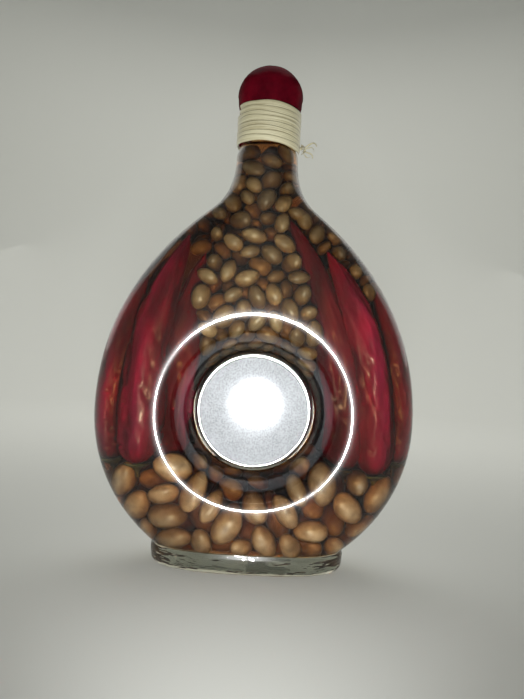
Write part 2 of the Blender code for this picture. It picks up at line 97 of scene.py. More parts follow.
def weld(piece: Piece, threshold: float = WELD) -> None:
    """Merges a piece's doubled vertices and points its faces outwards.

    Args:
        piece: The mesh object.
        threshold: The distance under which vertices merge.
    """
    pick(piece)
    bpy.ops.object.mode_set(mode="EDIT")
    bpy.ops.mesh.select_all(action="SELECT")
    bpy.ops.mesh.remove_doubles(threshold=threshold)
    bpy.ops.mesh.dissolve_degenerate(threshold=threshold / 4)
    bpy.ops.mesh.normals_make_consistent(inside=False)
    bpy.ops.object.mode_set(mode="OBJECT")


def smooth(piece: Piece, degrees: float = 40.0) -> None:
    """Shades a piece smooth, but for edges sharper than an angle."""
    pick(piece)
    bpy.ops.object.shade_smooth_by_angle(angle=math.radians(degrees))


def laid_grid(name: str, points: np.ndarray) -> Piece:
    """Adds a grid and lays it over given points.

    Args:
        name: The piece's name.
        points: An array of rows, columns and (x, y, z).

    Returns:
        The new piece, with its seams still open.
    """
    rows, columns = points.shape[:2]
    deselect()
    bpy.ops.mesh.primitive_grid_add(x_subdivisions=columns - 1, y_subdivisions=rows - 1, size=1.0)
    piece = bpy.context.object
    piece.name = name
    piece.data.name = name
    piece.data.vertices.foreach_set("co", np.ascontiguousarray(points, dtype=np.float32).reshape(-1))
    piece.data.update()
    return piece


def joined(name: str, parts: Sequence[Piece]) -> Piece:
    """Joins several pieces into one, which takes the name.

    Args:
        name: The joined piece's name.
        parts: The pieces, of which the first stays.

    Returns:
        The joined piece.
    """
    deselect()
    for part in parts:
        part.select_set(True)
    bpy.context.view_layer.objects.active = parts[0]
    if len(parts) > 1:
        bpy.ops.object.join()
    parts[0].name = name
    parts[0].data.name = name
    return parts[0]


def apply_modifier(piece: Piece, kind: str, **settings: Any) -> None:
    """Adds a modifier to a piece, sets it and applies it.

    Args:
        piece: The mesh object.
        kind: The modifier's type.
        **settings: Its properties by name.
    """
    pick(piece)
    modifier = piece.modifiers.new(kind.lower(), kind)
    for name, value in settings.items():
        setattr(modifier, name, value)
    bpy.ops.object.modifier_apply(modifier=modifier.name)


def turned(name: str, profile: Curve, steps: int = 96) -> Piece:
    """Turns a profile about the Z axis, by extruding a vertex along it and spinning the line.

    Args:
        name: The piece's name.
        profile: (radius, height) pairs.
        steps: How many steps make the full turn.

    Returns:
        The closed, smooth piece.
    """
    deselect()
    bpy.ops.mesh.primitive_plane_add(size=1.0)
    piece = bpy.context.object
    piece.name = name
    piece.data.name = name
    bpy.ops.object.mode_set(mode="EDIT")
    bpy.ops.mesh.select_all(action="SELECT")
    bpy.ops.mesh.merge(type="CENTER")
    radius, height = profile[0]
    bpy.ops.transform.translate(value=(radius, 0.0, height))
    for (r0, z0), (r1, z1) in zip(profile, profile[1:]):
        step = (r1 - r0, 0.0, z1 - z0)
        bpy.ops.mesh.extrude_region_move(TRANSFORM_OT_translate={"value": step})
    bpy.ops.mesh.select_all(action="SELECT")
    bpy.ops.mesh.spin(steps=steps, angle=2 * math.pi, center=(0.0, 0.0, 0.0), axis=(0.0, 0.0, 1.0))
    bpy.ops.object.mode_set(mode="OBJECT")
    weld(piece)
    smooth(piece)
    return piece


def push_points(piece: Piece, shift: Callable[[Vector], Vector]) -> None:
    """Moves every vertex of a piece by what a function of its place gives.

    Args:
        piece: The mesh object.
        shift: Gives a vertex's move from its place.
    """
    for vertex in piece.data.vertices:
        vertex.co += shift(vertex.co)
    piece.data.update()


def dome_profile(radius: float, shoulder: float, top: float, steps: int = 20) -> list[Pair]:
    """A quarter ellipse from the axis down to a shoulder, as (radius, height) pairs.

    Args:
        radius: The dome's radius at the shoulder.
        shoulder: The shoulder's height.
        top: The height of the dome's top.
        steps: How many steps the quarter has.

    Returns:
        The profile, from the top down.
    """
    angles = [math.pi / 2 * step / steps for step in range(steps + 1)]
    rise = top - shoulder
    return [(radius * math.sin(angle), shoulder + rise * math.cos(angle)) for angle in angles]


def finish_piece(piece: Piece, body: str, replaced: Sequence[str] = ()) -> None:
    """Hands a finished piece to the frame.

    Args:
        piece: The piece.
        body: The body that it rides on.
        replaced: CAD nodes that it stands for.
    """
    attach(piece, body)
    if replaced:
        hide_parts(*replaced)
    LOG.info("%s: %d faces, rides on %s", piece.name, len(piece.data.polygons), body)


# ---- materials --------------------------------------------------------------------------------
class Recipe:
    """A material's node tree with short calls for adding and joining nodes."""

    def __init__(self, name: str) -> None:
        """Makes an empty material.

        Args:
            name: The material's name.
        """
        self.material = bpy.data.materials.new(name)
        self.material.use_nodes = True
        self.tree = self.material.node_tree
        self.tree.nodes.clear()
        self.output = self.tree.nodes.new("ShaderNodeOutputMaterial")

    def add(self, kind: str, inputs: dict[str | int, Any] | None = None, **settings: Any) -> bpy.types.Node:
        """Adds a node.

        Args:
            kind: The node's type without its "ShaderNode" prefix.
            inputs: What its input sockets hold: a value or another node's output socket.
            **settings: The node's own properties.

        Returns:
            The node.
        """
        node = self.tree.nodes.new("ShaderNode" + kind)
        for name, value in settings.items():
            setattr(node, name, value)
        for key, value in (inputs or {}).items():
            if isinstance(value, Socket):
                self.tree.links.new(value, node.inputs[key])
            else:
                node.inputs[key].default_value = value
        return node

    def object_space(self, scale: Point = (1.0, 1.0, 1.0)) -> Socket:
        """Object coordinates, scaled."""
        coordinates = self.add("TexCoord").outputs["Object"]
        return self.add("Mapping", {"Vector": coordinates, "Scale": scale}).outputs["Vector"]

    def uv_space(self, scale: Point) -> Socket:
        """The piece's own UV map, scaled."""
        coordinates = self.add("TexCoord").outputs["UV"]
        return self.add("Mapping", {"Vector": coordinates, "Scale": scale}).outputs["Vector"]

    def cloud(self, space: Socket, scale: float, detail: float = 3.0) -> Socket:
        """Noise between 0 and 1."""
        node = self.add("TexNoise", {"Vector": space, "Scale": scale, "Detail": detail})
        return node.outputs["Fac"]

    def ridges(self, space: Socket, scale: float) -> Socket:
        """Noise that rises to sharp ridges.

        Args:
            space: The coordinates that it reads.
            scale: Its scale.

        Returns:
            The noise.
        """
        inputs = {"Vector": space, "Scale": scale, "Detail": 2.0, "Roughness": 0.6, "Lacunarity": 2.2}
        node = self.add("TexNoise", inputs, noise_type="RIDGED_MULTIFRACTAL")
        return node.outputs["Fac"]

    def ramp(self, fac: Socket, stops: Sequence[tuple[float, Colour]]) -> Socket:
        """A colour ramp over a number.

        Args:
            fac: The number, 0 to 1.
            stops: (position, colour) pairs, in rising order.

        Returns:
            The colour.
        """
        node = self.add("ValToRGB", {"Fac": fac})
        elements = node.color_ramp.elements
        while len(elements) < len(stops):
            elements.new(0.5)
        for element, (position, colour) in zip(elements, stops):
            element.position = position
            element.color = (*colour, 1.0)
        return node.outputs["Color"]

    def bump(
        self, height: Socket, strength: float, distance: float, below: Any = None
    ) -> Socket:
        """A bump of the normal, over another bump if one is given.

        Args:
            height: The height pattern.
            strength: The bump's strength.
            distance: The height of the pattern, in metres.
            below: The normal of the bump under it.

        Returns:
            The bumped normal.
        """
        inputs: dict[str | int, Any] = {"Height": height, "Strength": strength, "Distance": distance}
        if below is not None:
            inputs["Normal"] = below
        return self.add("Bump", inputs).outputs["Normal"]

    def spread(self, value: Socket, low: float, high: float) -> Socket:
        """Maps 0..1 to low..high."""
        node = self.add("MapRange", {"Value": value, "To Min": low, "To Max": high})
        return node.outputs["Result"]

    def blend_colours(
        self, fac: Any, first: Any, second: Any, mode: str = "MIX"
    ) -> Socket:
        """Mixes two colours."""
        node = self.add("MixRGB", {"Fac": fac, "Color1": first, "Color2": second}, blend_type=mode)
        return node.outputs["Color"]

    def depth(self, colour: Colour, density: float) -> None:
        """Gives the material a clear inside that tints light by the length of its way."""
        inside = self.add("VolumeAbsorption", {"Color": (*colour, 1.0), "Density": density})
        self.tree.links.new(inside.outputs["Volume"], self.output.inputs["Volume"])

    def principled(self, inputs: dict[str | int, Any]) -> bpy.types.Node:
        """Adds a Principled BSDF and joins it to the output.

        Args:
            inputs: What its sockets hold.

        Returns:
            The shader node.
        """
        shader = self.add("BsdfPrincipled", inputs)
        self.tree.links.new(shader.outputs["BSDF"], self.output.inputs["Surface"])
        return shader

    def let_lamps_through(self, shader: bpy.types.Node, tint: Colour) -> None:
        """Lets rays from lamps pass straight through a clear surface, tinted.

        Args:
            shader: The surface's shader node.
            tint: The colour that the lamp light takes.
        """
        clear = self.add("BsdfTransparent", {"Color": (*tint, 1.0)})
        lamp = self.add("LightPath").outputs["Is Shadow Ray"]
        mix = self.add("MixShader", {0: lamp, 1: shader.outputs["BSDF"], 2: clear.outputs["BSDF"]})
        self.tree.links.new(mix.outputs["Shader"], self.output.inputs["Surface"])


@dataclass(frozen=True)
class ClearGlass:
    """Moulded clear glass with the slight waves of a mould; its colour is painted darker in the foot and in
    a ring round the dish, as painted shade that partly stands for the thick glass there.
    """

    tint: Colour = (0.93, 0.955, 0.91)
    # The foot's colour is painted darker and browner: painted shade at the base, partly the colour of its
    # thick glass.
    foot_shade_tint: Colour = (0.70, 0.68, 0.56)
    foot_heights: Pair = (0.009, 0.0135)
    # The dish ring's colour is painted dark: painted shade in the recess round the disc, partly the thick
    # glass there.
    dish_shade_tint: Colour = (0.40, 0.41, 0.39)
    dish_height: float = 0.076
    dish_radii: Pair = (0.0260, 0.0480)
    roughness: float = 0.03
    ior: float = 1.5
    glow: float = 0.28
    glow_roughness: float = 0.27
    wave_scale: float = 24.0
    wave_height: float = 0.0011
    wave_strength: float = 0.22
    foot_wave_scale: float = 75.0
    foot_wave_squeeze: float = 3.5
    foot_swell: float = 4.5

    def share(self, recipe: Recipe, value: Socket, limits: Pair) -> Socket:
        """How far a number is from the first limit to the second, 0 to 1.

        Args:
            recipe: The material.
            value: The number.
            limits: The two limits.

        Returns:
            The share.
        """
        low, high = limits
        node = recipe.add("MapRange", {"Value": value, "From Min": low, "From Max": high})
        return node.outputs["Result"]

    def from_dish(self, recipe: Recipe, space: Socket) -> Socket:
        """The distance from the axis of the dished middle.

        Args:
            recipe: The material.
            space: Object coordinates.

        Returns:
            The distance.
        """
        shift = {0: space, 1: (0.0, 0.0, -self.dish_height)}
        moved = recipe.add("VectorMath", shift, operation="ADD").outputs["Vector"]
        flatten = {0: moved, 1: (1.0, 0.0, 1.0)}
        flat = recipe.add("VectorMath", flatten, operation="MULTIPLY").outputs["Vector"]
        return recipe.add("VectorMath", {0: flat}, operation="LENGTH").outputs["Value"]

    def material(self) -> bpy.types.Material:
        """Makes the material.

        Returns:
            The material.
        """
        recipe = Recipe("clear_glass")
        space = recipe.object_space()
        height = recipe.add("SeparateXYZ", {"Vector": space}).outputs["Z"]
        above = self.share(recipe, height, self.foot_heights)
        ring = self.share(recipe, self.from_dish(recipe, space), self.dish_radii)
        # Painted shade: a dark ring in the colour round the dish's recess, between dish_radii.
        dished = recipe.ramp(ring, (
            (0.0, self.tint), (0.16, self.dish_shade_tint), (0.50, self.dish_shade_tint), (1.0, self.tint),
        ))
        body_waves = recipe.cloud(space, self.wave_scale, 1.5)
        squeezed = recipe.object_space((1.0, 1.0, self.foot_wave_squeeze))
        foot_waves = recipe.spread(recipe.cloud(squeezed, self.foot_wave_scale, 2.0), 0.0, self.foot_swell)
        waves = recipe.blend_colours(above, foot_waves, body_waves)
        shader = recipe.principled({
            # Below foot_heights the colour is the foot's painted shade; above, the dish ring's painted
            # shade and the plain tint.
            "Base Color": recipe.blend_colours(above, (*self.foot_shade_tint, 1.0), dished),
            "Roughness": self.roughness,
            "IOR": self.ior,
            "Transmission Weight": 1.0,
            "Coat Weight": self.glow,
            "Coat Roughness": self.glow_roughness,
            "Normal": recipe.bump(waves, self.wave_strength, self.wave_height),
        })
        recipe.let_lamps_through(shader, self.tint)
        return recipe.material


@dataclass(frozen=True)
class WettedGlass:
    """The inner glass wall under oil, which bends light as the glass does and so can't be seen."""

    def material(self) -> bpy.types.Material:
        """Makes the material.

        Returns:
            The material.
        """
        recipe = Recipe("wetted_glass")
        clear = recipe.add("BsdfTransparent", {"Color": (1.0, 1.0, 1.0, 1.0)})
        recipe.tree.links.new(clear.outputs["BSDF"], recipe.output.inputs["Surface"])
        return recipe.material


@dataclass(frozen=True)
class ChilliOil:
    """Golden oil that tints by its depth."""

    surface: Colour = (0.985, 0.955, 0.86)
    absorbed: Colour = (0.67, 0.41, 0.045)
    density: float = 215.0

    def material(self) -> bpy.types.Material:
        """Makes the material.

        Returns:
            The material.
        """
        recipe = Recipe("chilli_oil")
        shader = recipe.principled({
            "Base Color": (*self.surface, 1.0),
            "Roughness": 0.0,
            "IOR": 1.0,
            "Transmission Weight": 1.0,
        })
        recipe.let_lamps_through(shader, self.surface)
        recipe.depth(self.absorbed, self.density)
        return recipe.material


@dataclass(frozen=True)
class RedWax:
    """Dipped wine-red wax: satin, with faint dips and darker patches."""

    light: Colour = (0.140, 0.0028, 0.0110)
    dark: Colour = (0.070, 0.0014, 0.0062)
    patch_scale: float = 130.0
    wave_scale: float = 95.0
    wave_height: float = 0.0008
    grain_scale: float = 1900.0
    grain_height: float = 0.0002
    roughness: Pair = (0.42, 0.26)
    shine: float = 0.06
    shine_roughness: float = 0.22

    def material(self) -> bpy.types.Material:
        """Makes the material.

        Returns:
            The material.
        """
        recipe = Recipe("red_wax")
        space = recipe.object_space()
        patches = recipe.cloud(space, self.patch_scale, 4.0)
        waves = recipe.cloud(space, self.wave_scale, 2.0)
        grain = recipe.cloud(space, self.grain_scale, 2.0)
        waved = recipe.bump(waves, 0.35, self.wave_height)
        recipe.principled({
            "Base Color": recipe.ramp(patches, ((0.34, self.dark), (0.66, self.light))),
            "Roughness": recipe.spread(patches, *self.roughness),
            "Specular IOR Level": 0.0,
            "Subsurface Weight": 0.06,
            "Subsurface Radius": (0.8, 0.15, 0.1),
            "Subsurface Scale": 0.002,
            "Coat Weight": self.shine,
            "Coat Roughness": self.shine_roughness,
            "Normal": recipe.bump(grain, 0.12, self.grain_height, waved),
        })
        return recipe.material


@dataclass(frozen=True)
class StrawRaffia:
    """Flat dry palm fibre with lengthwise streaks, and painted shade darkening each strand towards its
    edges.
    """

    pale: Colour = (0.700, 0.670, 0.470)
    straw: Colour = (0.500, 0.455, 0.280)
    shade: Colour = (0.300, 0.240, 0.120)
    fibres: float = 9.0
    runs: float = 26.0
    streak_height: float = 0.0004
    fine_height: float = 0.0002
    patch_scale: float = 240.0
    # Painted shade at the strand edges, where the strands meet and overlap.
    painted_edge_shade: Colour = (0.30, 0.25, 0.16)
    roughness: Pair = (0.38, 0.62)

    def material(self) -> bpy.types.Material:
        """Makes the material.

        Returns:
            The material.
        """
        recipe = Recipe("straw_raffia")
        streaks = recipe.cloud(recipe.uv_space((self.runs, self.fibres, 1.0)), 1.0, 5.0)
        fine = recipe.cloud(recipe.uv_space((self.runs * 1.6, self.fibres * 5.0, 1.0)), 1.0, 4.0)
        patches = recipe.cloud(recipe.object_space(), self.patch_scale, 2.0)
        base = recipe.ramp(streaks, ((0.30, self.shade), (0.46, self.straw), (0.66, self.pale)))
        colour = recipe.blend_colours(recipe.spread(patches, 0.0, 0.45), base, (*self.pale, 1.0))
        # Painted shade: the colour is multiplied darker towards both edges of each strand.
        around = recipe.add("SeparateXYZ", {0: recipe.uv_space((2 * math.pi, 1.0, 1.0))}).outputs["X"]
        across = recipe.add("Math", {0: around}, operation="COSINE").outputs[0]
        edge = recipe.add("Math", {0: across}, operation="ABSOLUTE").outputs[0]
        edge_shading = recipe.ramp(edge, ((0.78, (1.0, 1.0, 1.0)), (0.99, self.painted_edge_shade)))
        colour = recipe.blend_colours(1.0, colour, edge_shading, "MULTIPLY")
        streaked = recipe.bump(streaks, 0.6, self.streak_height)
        recipe.principled({
            "Base Color": colour,
            "Roughness": recipe.spread(fine, *self.roughness),
            "Sheen Weight": 0.25,
            "Sheen Roughness": 0.4,
            "Coat Weight": 0.12,
            "Coat Roughness": 0.3,
            "Normal": recipe.bump(fine, 0.45, self.fine_height, streaked),
        })
        return recipe.material


@dataclass(frozen=True)
class CastPewter:
    """Cast grey metal with a fine frosted grain."""

    light: Colour = (0.39, 0.41, 0.43)
    dark: Colour = (0.18, 0.19, 0.20)
    grain_scale: float = 2300.0
    flake_scale: float = 1500.0
    patch_scale: float = 70.0
    relief: float = 0.000012
    roughness: Pair = (0.075, 0.05)

    def material(self) -> bpy.types.Material:
        """Makes the material.

        Returns:
            The material.
        """
        recipe = Recipe("cast_pewter")
        space = recipe.object_space()
        grain = recipe.cloud(space, self.grain_scale, 3.0)
        flakes = recipe.add("TexVoronoi", {"Vector": space, "Scale": self.flake_scale}).outputs["Distance"]
        patches = recipe.cloud(space, self.patch_scale, 4.0)
        mottle = recipe.blend_colours(0.5, grain, flakes)
        colour = recipe.ramp(mottle, ((0.28, self.dark), (0.56, self.light)))
        clouded = recipe.ramp(patches, ((0.3, self.dark), (0.7, self.light)))
        shaded = recipe.blend_colours(0.22, colour, clouded)
        grained = recipe.bump(grain, 0.25, self.relief)
        recipe.principled({
            "Base Color": shaded,
            "Metallic": 0.35,
            "Specular IOR Level": 0.3,
            "Roughness": recipe.spread(mottle, *self.roughness),
            "Normal": recipe.bump(flakes, 0.20, self.relief, grained),
        })
        return recipe.material


@dataclass(frozen=True)
class BeanSkin:
    """Soaked bean skin; each bean has its own shade in the attribute "shade"."""

    name: str
    dark: Colour
    light: Colour
    mottle_scale: float = 210.0
    speck_scale: float = 900.0
    mottle_dark: Colour = (0.48, 0.42, 0.36)
    roughness: Pair = (0.40, 0.24)

    def material(self) -> bpy.types.Material:
        """Makes the material.

        Returns:
            The material.
        """
        recipe = Recipe(self.name)
        space = recipe.object_space()
        shade = recipe.add("Attribute", attribute_name="shade", attribute_type="GEOMETRY").outputs["Fac"]
        mottle = recipe.cloud(space, self.mottle_scale, 4.0)
        specks = recipe.cloud(space, self.speck_scale, 2.0)
        own = recipe.ramp(shade, ((0.0, self.dark), (1.0, self.light)))
        darker = recipe.ramp(mottle, ((0.32, self.mottle_dark), (0.60, (1.0, 1.0, 1.0))))
        wrinkles = recipe.bump(mottle, 0.35, 0.0006, recipe.bump(specks, 0.15, 0.0002))
        recipe.principled({
            "Base Color": recipe.blend_colours(0.85, own, darker, "MULTIPLY"),
            "Roughness": recipe.spread(mottle, *self.roughness),
            "Specular IOR Level": 0.22,
            "Subsurface Weight": 0.08,
            "Subsurface Radius": (0.9, 0.45, 0.2),
            "Subsurface Scale": 0.0015,
            "Normal": wrinkles,
        })
        return recipe.material


@dataclass(frozen=True)
class ChilliSkin:
    """Glossy soaked chilli skin, crimson in random patches, with painted shade darkening the valleys of its
    folds along the pod.
    """

    dark: Colour = (0.032, 0.0007, 0.0054)
    middle: Colour = (0.092, 0.0015, 0.0152)
    bright: Colour = (0.198, 0.0042, 0.0262)
    patch_scale: float = 62.0
    speck_scale: float = 520.0
    roughness: Pair = (0.26, 0.42)

    def material(self) -> bpy.types.Material:
        """Makes the material.

        Returns:
            The material.
        """
        recipe = Recipe("chilli_skin")
        space = recipe.object_space()
        patches = recipe.cloud(recipe.object_space((1.0, 1.0, 0.45)), self.patch_scale, 4.0)
        folds = recipe.cloud(recipe.uv_space((9.0, 5.0, 1.0)), 1.0, 5.0)
        creases = recipe.ridges(recipe.uv_space((7.0, 3.2, 1.0)), 1.0)
        puckers = recipe.ridges(recipe.uv_space((3.0, 16.0, 1.0)), 1.0)
        specks = recipe.cloud(space, self.speck_scale, 3.0)
        # Painted shade: the fold noise is also the folds' bump height, so the colour is darker in the fold
        # valleys, mixed with random patches of tone.
        mixed = recipe.blend_colours(0.45, patches, folds)
        colour = recipe.ramp(mixed, ((0.36, self.dark), (0.52, self.middle), (0.70, self.bright)))
        normal = recipe.bump(folds, 0.35, 0.0009, recipe.bump(creases, 0.40, 0.0006))
        normal = recipe.bump(puckers, 0.25, 0.0003, recipe.bump(specks, 0.10, 0.0002, normal))
        recipe.principled({
            "Base Color": colour,
            "Roughness": recipe.spread(specks, *self.roughness),
            "Specular IOR Level": 0.05,
            "Coat Weight": 0.03,
            "Coat Roughness": 0.07,
            "Normal": normal,
        })
        return recipe.material


@dataclass(frozen=True)
class Speckled:
    """A plain natural finish in two colours: calyx, cork, wood or set glue."""

    name: str
    dark: Colour
    light: Colour
    scale: float
    roughness: Pair
    stretch: Point = (1.0, 1.0, 1.0)
    bump_height: float = 0.0004
    see_through: float = 0.0

    def material(self) -> bpy.types.Material:
        """Makes the material.

        Returns:
            The material.
        """
        recipe = Recipe(self.name)
        space = recipe.object_space(self.stretch)
        grain = recipe.cloud(space, self.scale, 5.0)
        pits = recipe.add("TexVoronoi", {"Vector": space, "Scale": self.scale * 0.6}).outputs["Distance"]
        normal = recipe.bump(pits, 0.3, self.bump_height, recipe.bump(grain, 0.5, self.bump_height))
        recipe.principled({
            "Base Color": recipe.ramp(grain, ((0.34, self.dark), (0.62, self.light))),
            "Roughness": recipe.spread(grain, *self.roughness),
            "Transmission Weight": self.see_through,
            "Normal": normal,
        })
        return recipe.material


@dataclass(frozen=True)
class StudioFloor:
    """Plain pale matt floor and backdrop."""

    colour: Colour = (0.58, 0.59, 0.555)
    roughness: float = 0.85
    sheen: float = 0.2

    def material(self) -> bpy.types.Material:
        """Makes the material.

        Returns:
            The material.
        """
        recipe = Recipe("studio_floor")
        recipe.principled({
            "Base Color": (*self.colour, 1.0),
            "Roughness": self.roughness,
            "Specular IOR Level": self.sheen,
        })
        return recipe.material


# ---- the flask's form -------------------------------------------------------------------------
def bezier(points: Curve, t: np.ndarray) -> np.ndarray:
    """Points on a cubic Bezier of (a, b) pairs, as an array of (a, b).

    Args:
        points: The four control points.
        t: Where along the curve, 0 to 1.

    Returns:
        The points, a row for each t.
    """
    s = 1.0 - t
    weights = np.stack((s**3, 3 * s * s * t, 3 * s * t * t, t**3), axis=-1)
    return weights @ np.array(points)


def read_curves(curves: Sequence[Curve], known: int) -> tuple[np.ndarray, np.ndarray]:
    """Samples a chain of curves for reading with np.interp.

    Args:
        curves: The curves, end to end.
        known: Which coordinate, 0 or 1, is the one that is looked up.

    Returns:
        The known coordinate, growing, and the other one.
    """
    t = np.linspace(0.0, 1.0, 300)
    points = np.concatenate([bezier(curve, t) for curve in curves])
    return points[:, known], points[:, 1 - known]


@dataclass
class FlaskForm:
    """The formulas of the glass: outline, depth, recess, foot and neck."""

    wall: float = 0.003
    body_radius: float = 0.0785
    body_z: float = 0.0735
    neck_radius: float = 0.01535
    foot_top: float = 0.0105
    foot_edge: float = 0.004
    foot_lip: float = 0.0007
    floor_z: float = 0.008
    floor_row: float = 0.014
    root_z: float = 0.176
    neck_top: float = 0.2002
    recess_z: float = 0.076
    rim_radius: float = 0.054
    rounding: float = 0.004
    shoulder_lean: float = 0.914
    shoulder: Pair = (0.0276, 0.1737)
    shoulder_pulls: Pair = (0.0544, 0.005)
    belly_z: float = 0.0990
    throat_z: float = 0.1832
    body_depth: float = 0.029
    rim_slope: float = 0.35
    square_from: float = 0.120
    square_height: float = 0.065
    body_square: float = 2.6
    square_loss: float = 0.6
    floor_corner: float = 0.003
    foot_roll: tuple[Pair, ...] = ((0.0098, 0.1), (0.0089, 0.75), (0.0078, 1.0), (0.0060, 0.9))
    outer_recess: tuple[Pair, ...] = (
        (0.0273, 0.0032), (0.0343, 0.0032), (0.032, 0.027), (0.054, 0.027),
    )
    inner_recess: tuple[Pair, ...] = (
        (0.033, 0.0), (0.033, 0.008), (0.0365, 0.024), (0.054, 0.024),
    )
    side_steps: int = 56
    end_steps: int = 36
    recess_steps: int = 22
    swell_steps: int = 22
    width_table: tuple[np.ndarray, np.ndarray] = field(init=False)
    depth_table: tuple[np.ndarray, np.ndarray] = field(init=False)

    def __post_init__(self) -> None:
        """Samples the outline curves."""
        lean = np.array((-math.sin(self.shoulder_lean), math.cos(self.shoulder_lean)))
        corner = np.array(self.shoulder)
        before, after = self.shoulder_pulls
        belly = (
            (self.body_radius, self.body_z), (self.body_radius, self.belly_z),
            tuple(corner - before * lean), tuple(corner),
        )
        throat = (
            tuple(corner), tuple(corner + after * lean),
            (self.neck_radius, self.throat_z), (self.neck_radius, self.neck_top),
        )
        deepest = (self.body_depth, self.recess_z)
        low = ((0.0202, self.foot_top), (0.0235, 0.026), (self.body_depth, 0.040), deepest)
        high = (
            deepest, (self.body_depth, 0.136),
            (self.neck_radius, 0.172), (self.neck_radius, self.neck_top),
        )
        self.width_table = read_curves((belly, throat), 1)
        self.depth_table = read_curves((low, high), 1)

    def half_width(self, z: np.ndarray) -> np.ndarray:
        """Half the width at each height: a circle below, then the shoulder curve."""
        circle = np.sqrt(np.maximum(self.body_radius**2 - (z - self.body_z) ** 2, 0.0))
        return np.where(z < self.body_z, circle, np.interp(z, *self.width_table))

    def half_depth(self, z: np.ndarray) -> np.ndarray:
        """Half the depth at each height, as if there were no recess."""
        return np.interp(z, *self.depth_table)

    def squareness(self, z: np.ndarray) -> np.ndarray:
        """Exponent of the level sections: a squarish oval below, a circle at the neck."""
        u = np.clip((z - self.square_from) / self.square_height, 0.0, 1.0)
        return self.body_square - self.square_loss * u * u * (3 - 2 * u)

    def recess_of(self, wall: float) -> tuple[Pair, ...]:
        """The recess profile of the outside (wall 0) or of an inside at depth wall.

        Args:
            wall: The depth in the glass.

        Returns:
            Bezier points of (radius, half depth).
        """
        if wall == 0.0:
            return self.outer_recess
        grown = self.wall - wall
        return tuple((radius - grown, depth) for radius, depth in self.inner_recess)

    def skin(self, x: np.ndarray, z: np.ndarray, wall: float) -> np.ndarray:
        """Half depth of a skin at depth wall in the glass, at each (x, z).

        Args:
            x: Distances from the middle.
            z: Heights.
            wall: The depth in the glass.

        Returns:
            The half depths, with the recess blended softly into the swell.
        """
        power = self.squareness(z)
        share = np.clip(np.abs(x) / (self.half_width(z) - wall), 0.0, 1.0)
        swell = (self.half_depth(z) - wall) * (1 - share**power) ** (1 / power)
        radius = np.hypot(x, z - self.recess_z)
        known, depth = read_curves((self.recess_of(wall),), 0)
        order = np.argsort(known, kind="stable")
        dish = np.interp(radius, known[order], depth[order])
        dish = dish + np.maximum(radius - self.rim_radius, 0.0) * self.rim_slope
        h = np.clip(0.5 + 0.5 * (dish - swell) / self.rounding, 0.0, 1.0)
        return np.maximum(dish + (swell - dish) * h - self.rounding * h * (1 - h), 0.0)

    def section(self, z: float, wall: float, inset: float = 0.0) -> np.ndarray:
        """The front half of the level oval at a height, from +X round to -X.

        Args:
            z: The height.
            wall: The depth in the glass.
            inset: A further inset.

        Returns:
            Points spaced evenly along the oval.
        """
        height = np.array(z)
        wide = float(self.half_width(height)) - wall - inset
        deep = float(self.half_depth(height)) - wall - inset
        power = 2 / float(self.squareness(height))
        angle = np.linspace(0.0, math.pi / 2, 1200)
        x, y = np.cos(angle) ** power * wide, np.sin(angle) ** power * deep
        x[-1] = y[0] = 0.0
        way = np.concatenate(((0.0,), np.cumsum(np.hypot(np.diff(x), np.diff(y)))))
        even = np.linspace(0.0, way[-1], self.end_steps // 2 + 1)
        x, y = np.interp(even, way, x), np.interp(even, way, y)
        x, y = np.concatenate((x, -x[-2::-1])), -np.concatenate((y, y[-2::-1]))
        return np.stack((x, y, np.full_like(x, z)), axis=-1)

    def ring(self, radius: float, z: float) -> np.ndarray:
        """The front half of a circle at a height, from +X round to -X.

        Args:
            radius: The circle's radius.
            z: The height.

        Returns:
            Points spaced evenly along it.
        """
        angle = np.linspace(0.0, math.pi, self.end_steps + 1)
        sine = np.sin(angle)
        sine[0] = sine[-1] = 0.0
        return np.stack((radius * np.cos(angle), -radius * sine, np.full_like(angle, z)), axis=-1)

    def rim(self, foot_z: float, wall: float) -> np.ndarray:
        """The edge of the dished front, once round and back to its start.

        Args:
            foot_z: The height of its lower edge.
            wall: The depth in the glass.

        Returns:
            The points of the edge.
        """
        heights = np.linspace(foot_z, self.root_z, self.side_steps + 1)
        width = self.half_width(heights) - wall
        flat = np.zeros_like(width)
        right = np.stack((width, flat, heights), axis=-1)
        left = np.stack((-width, flat, heights), axis=-1)[::-1]
        top = self.section(self.root_z, wall)
        bottom = self.section(foot_z, wall)[::-1]
        return np.concatenate((right, top[1:], left[1:], bottom[1:]))

    def front(self, foot_z: float, wall: float, web: bool) -> np.ndarray:
        """Rows of points over the dished front of a skin, from the recess out to the rim.

        Args:
            foot_z: The height of its lower edge.
            wall: The depth in the glass.
            web: Whether the flat middle is closed by a web of glass.

        Returns:
            Rows of points.
        """
        rim = self.rim(foot_z, wall)
        centre = np.array((0.0, 0.0, self.recess_z))
        way = rim - centre
        way[:, 1] = 0.0
        way /= np.linalg.norm(way, axis=1)[:, None]
        recess = self.recess_of(wall)
        radii = bezier(recess, np.linspace(0.0, 1.0, self.recess_steps + 1))[:, 0]
        rows = []
        if web:
            for share in (0.0, 0.4, 0.7, 0.9, 0.97):
                row = centre + way * (recess[0][0] * share)
                row[:, 1] = -recess[0][1]
                rows.append(row)
        for index, radius in enumerate(radii):
            row = centre + way * radius
            row[:, 1] = -self.skin(row[:, 0], row[:, 2], wall) if index else -recess[0][1]
            rows.append(row)
        lip = rows[-1]
        for step in range(1, self.swell_steps):
            share = math.sin(math.pi / 2 * step / self.swell_steps)
            row = lip + (rim - lip) * share
            row[:, 1] = -self.skin(row[:, 0], row[:, 2], wall)
            rows.append(row)
        rows.append(rim)
        return np.stack(rows)

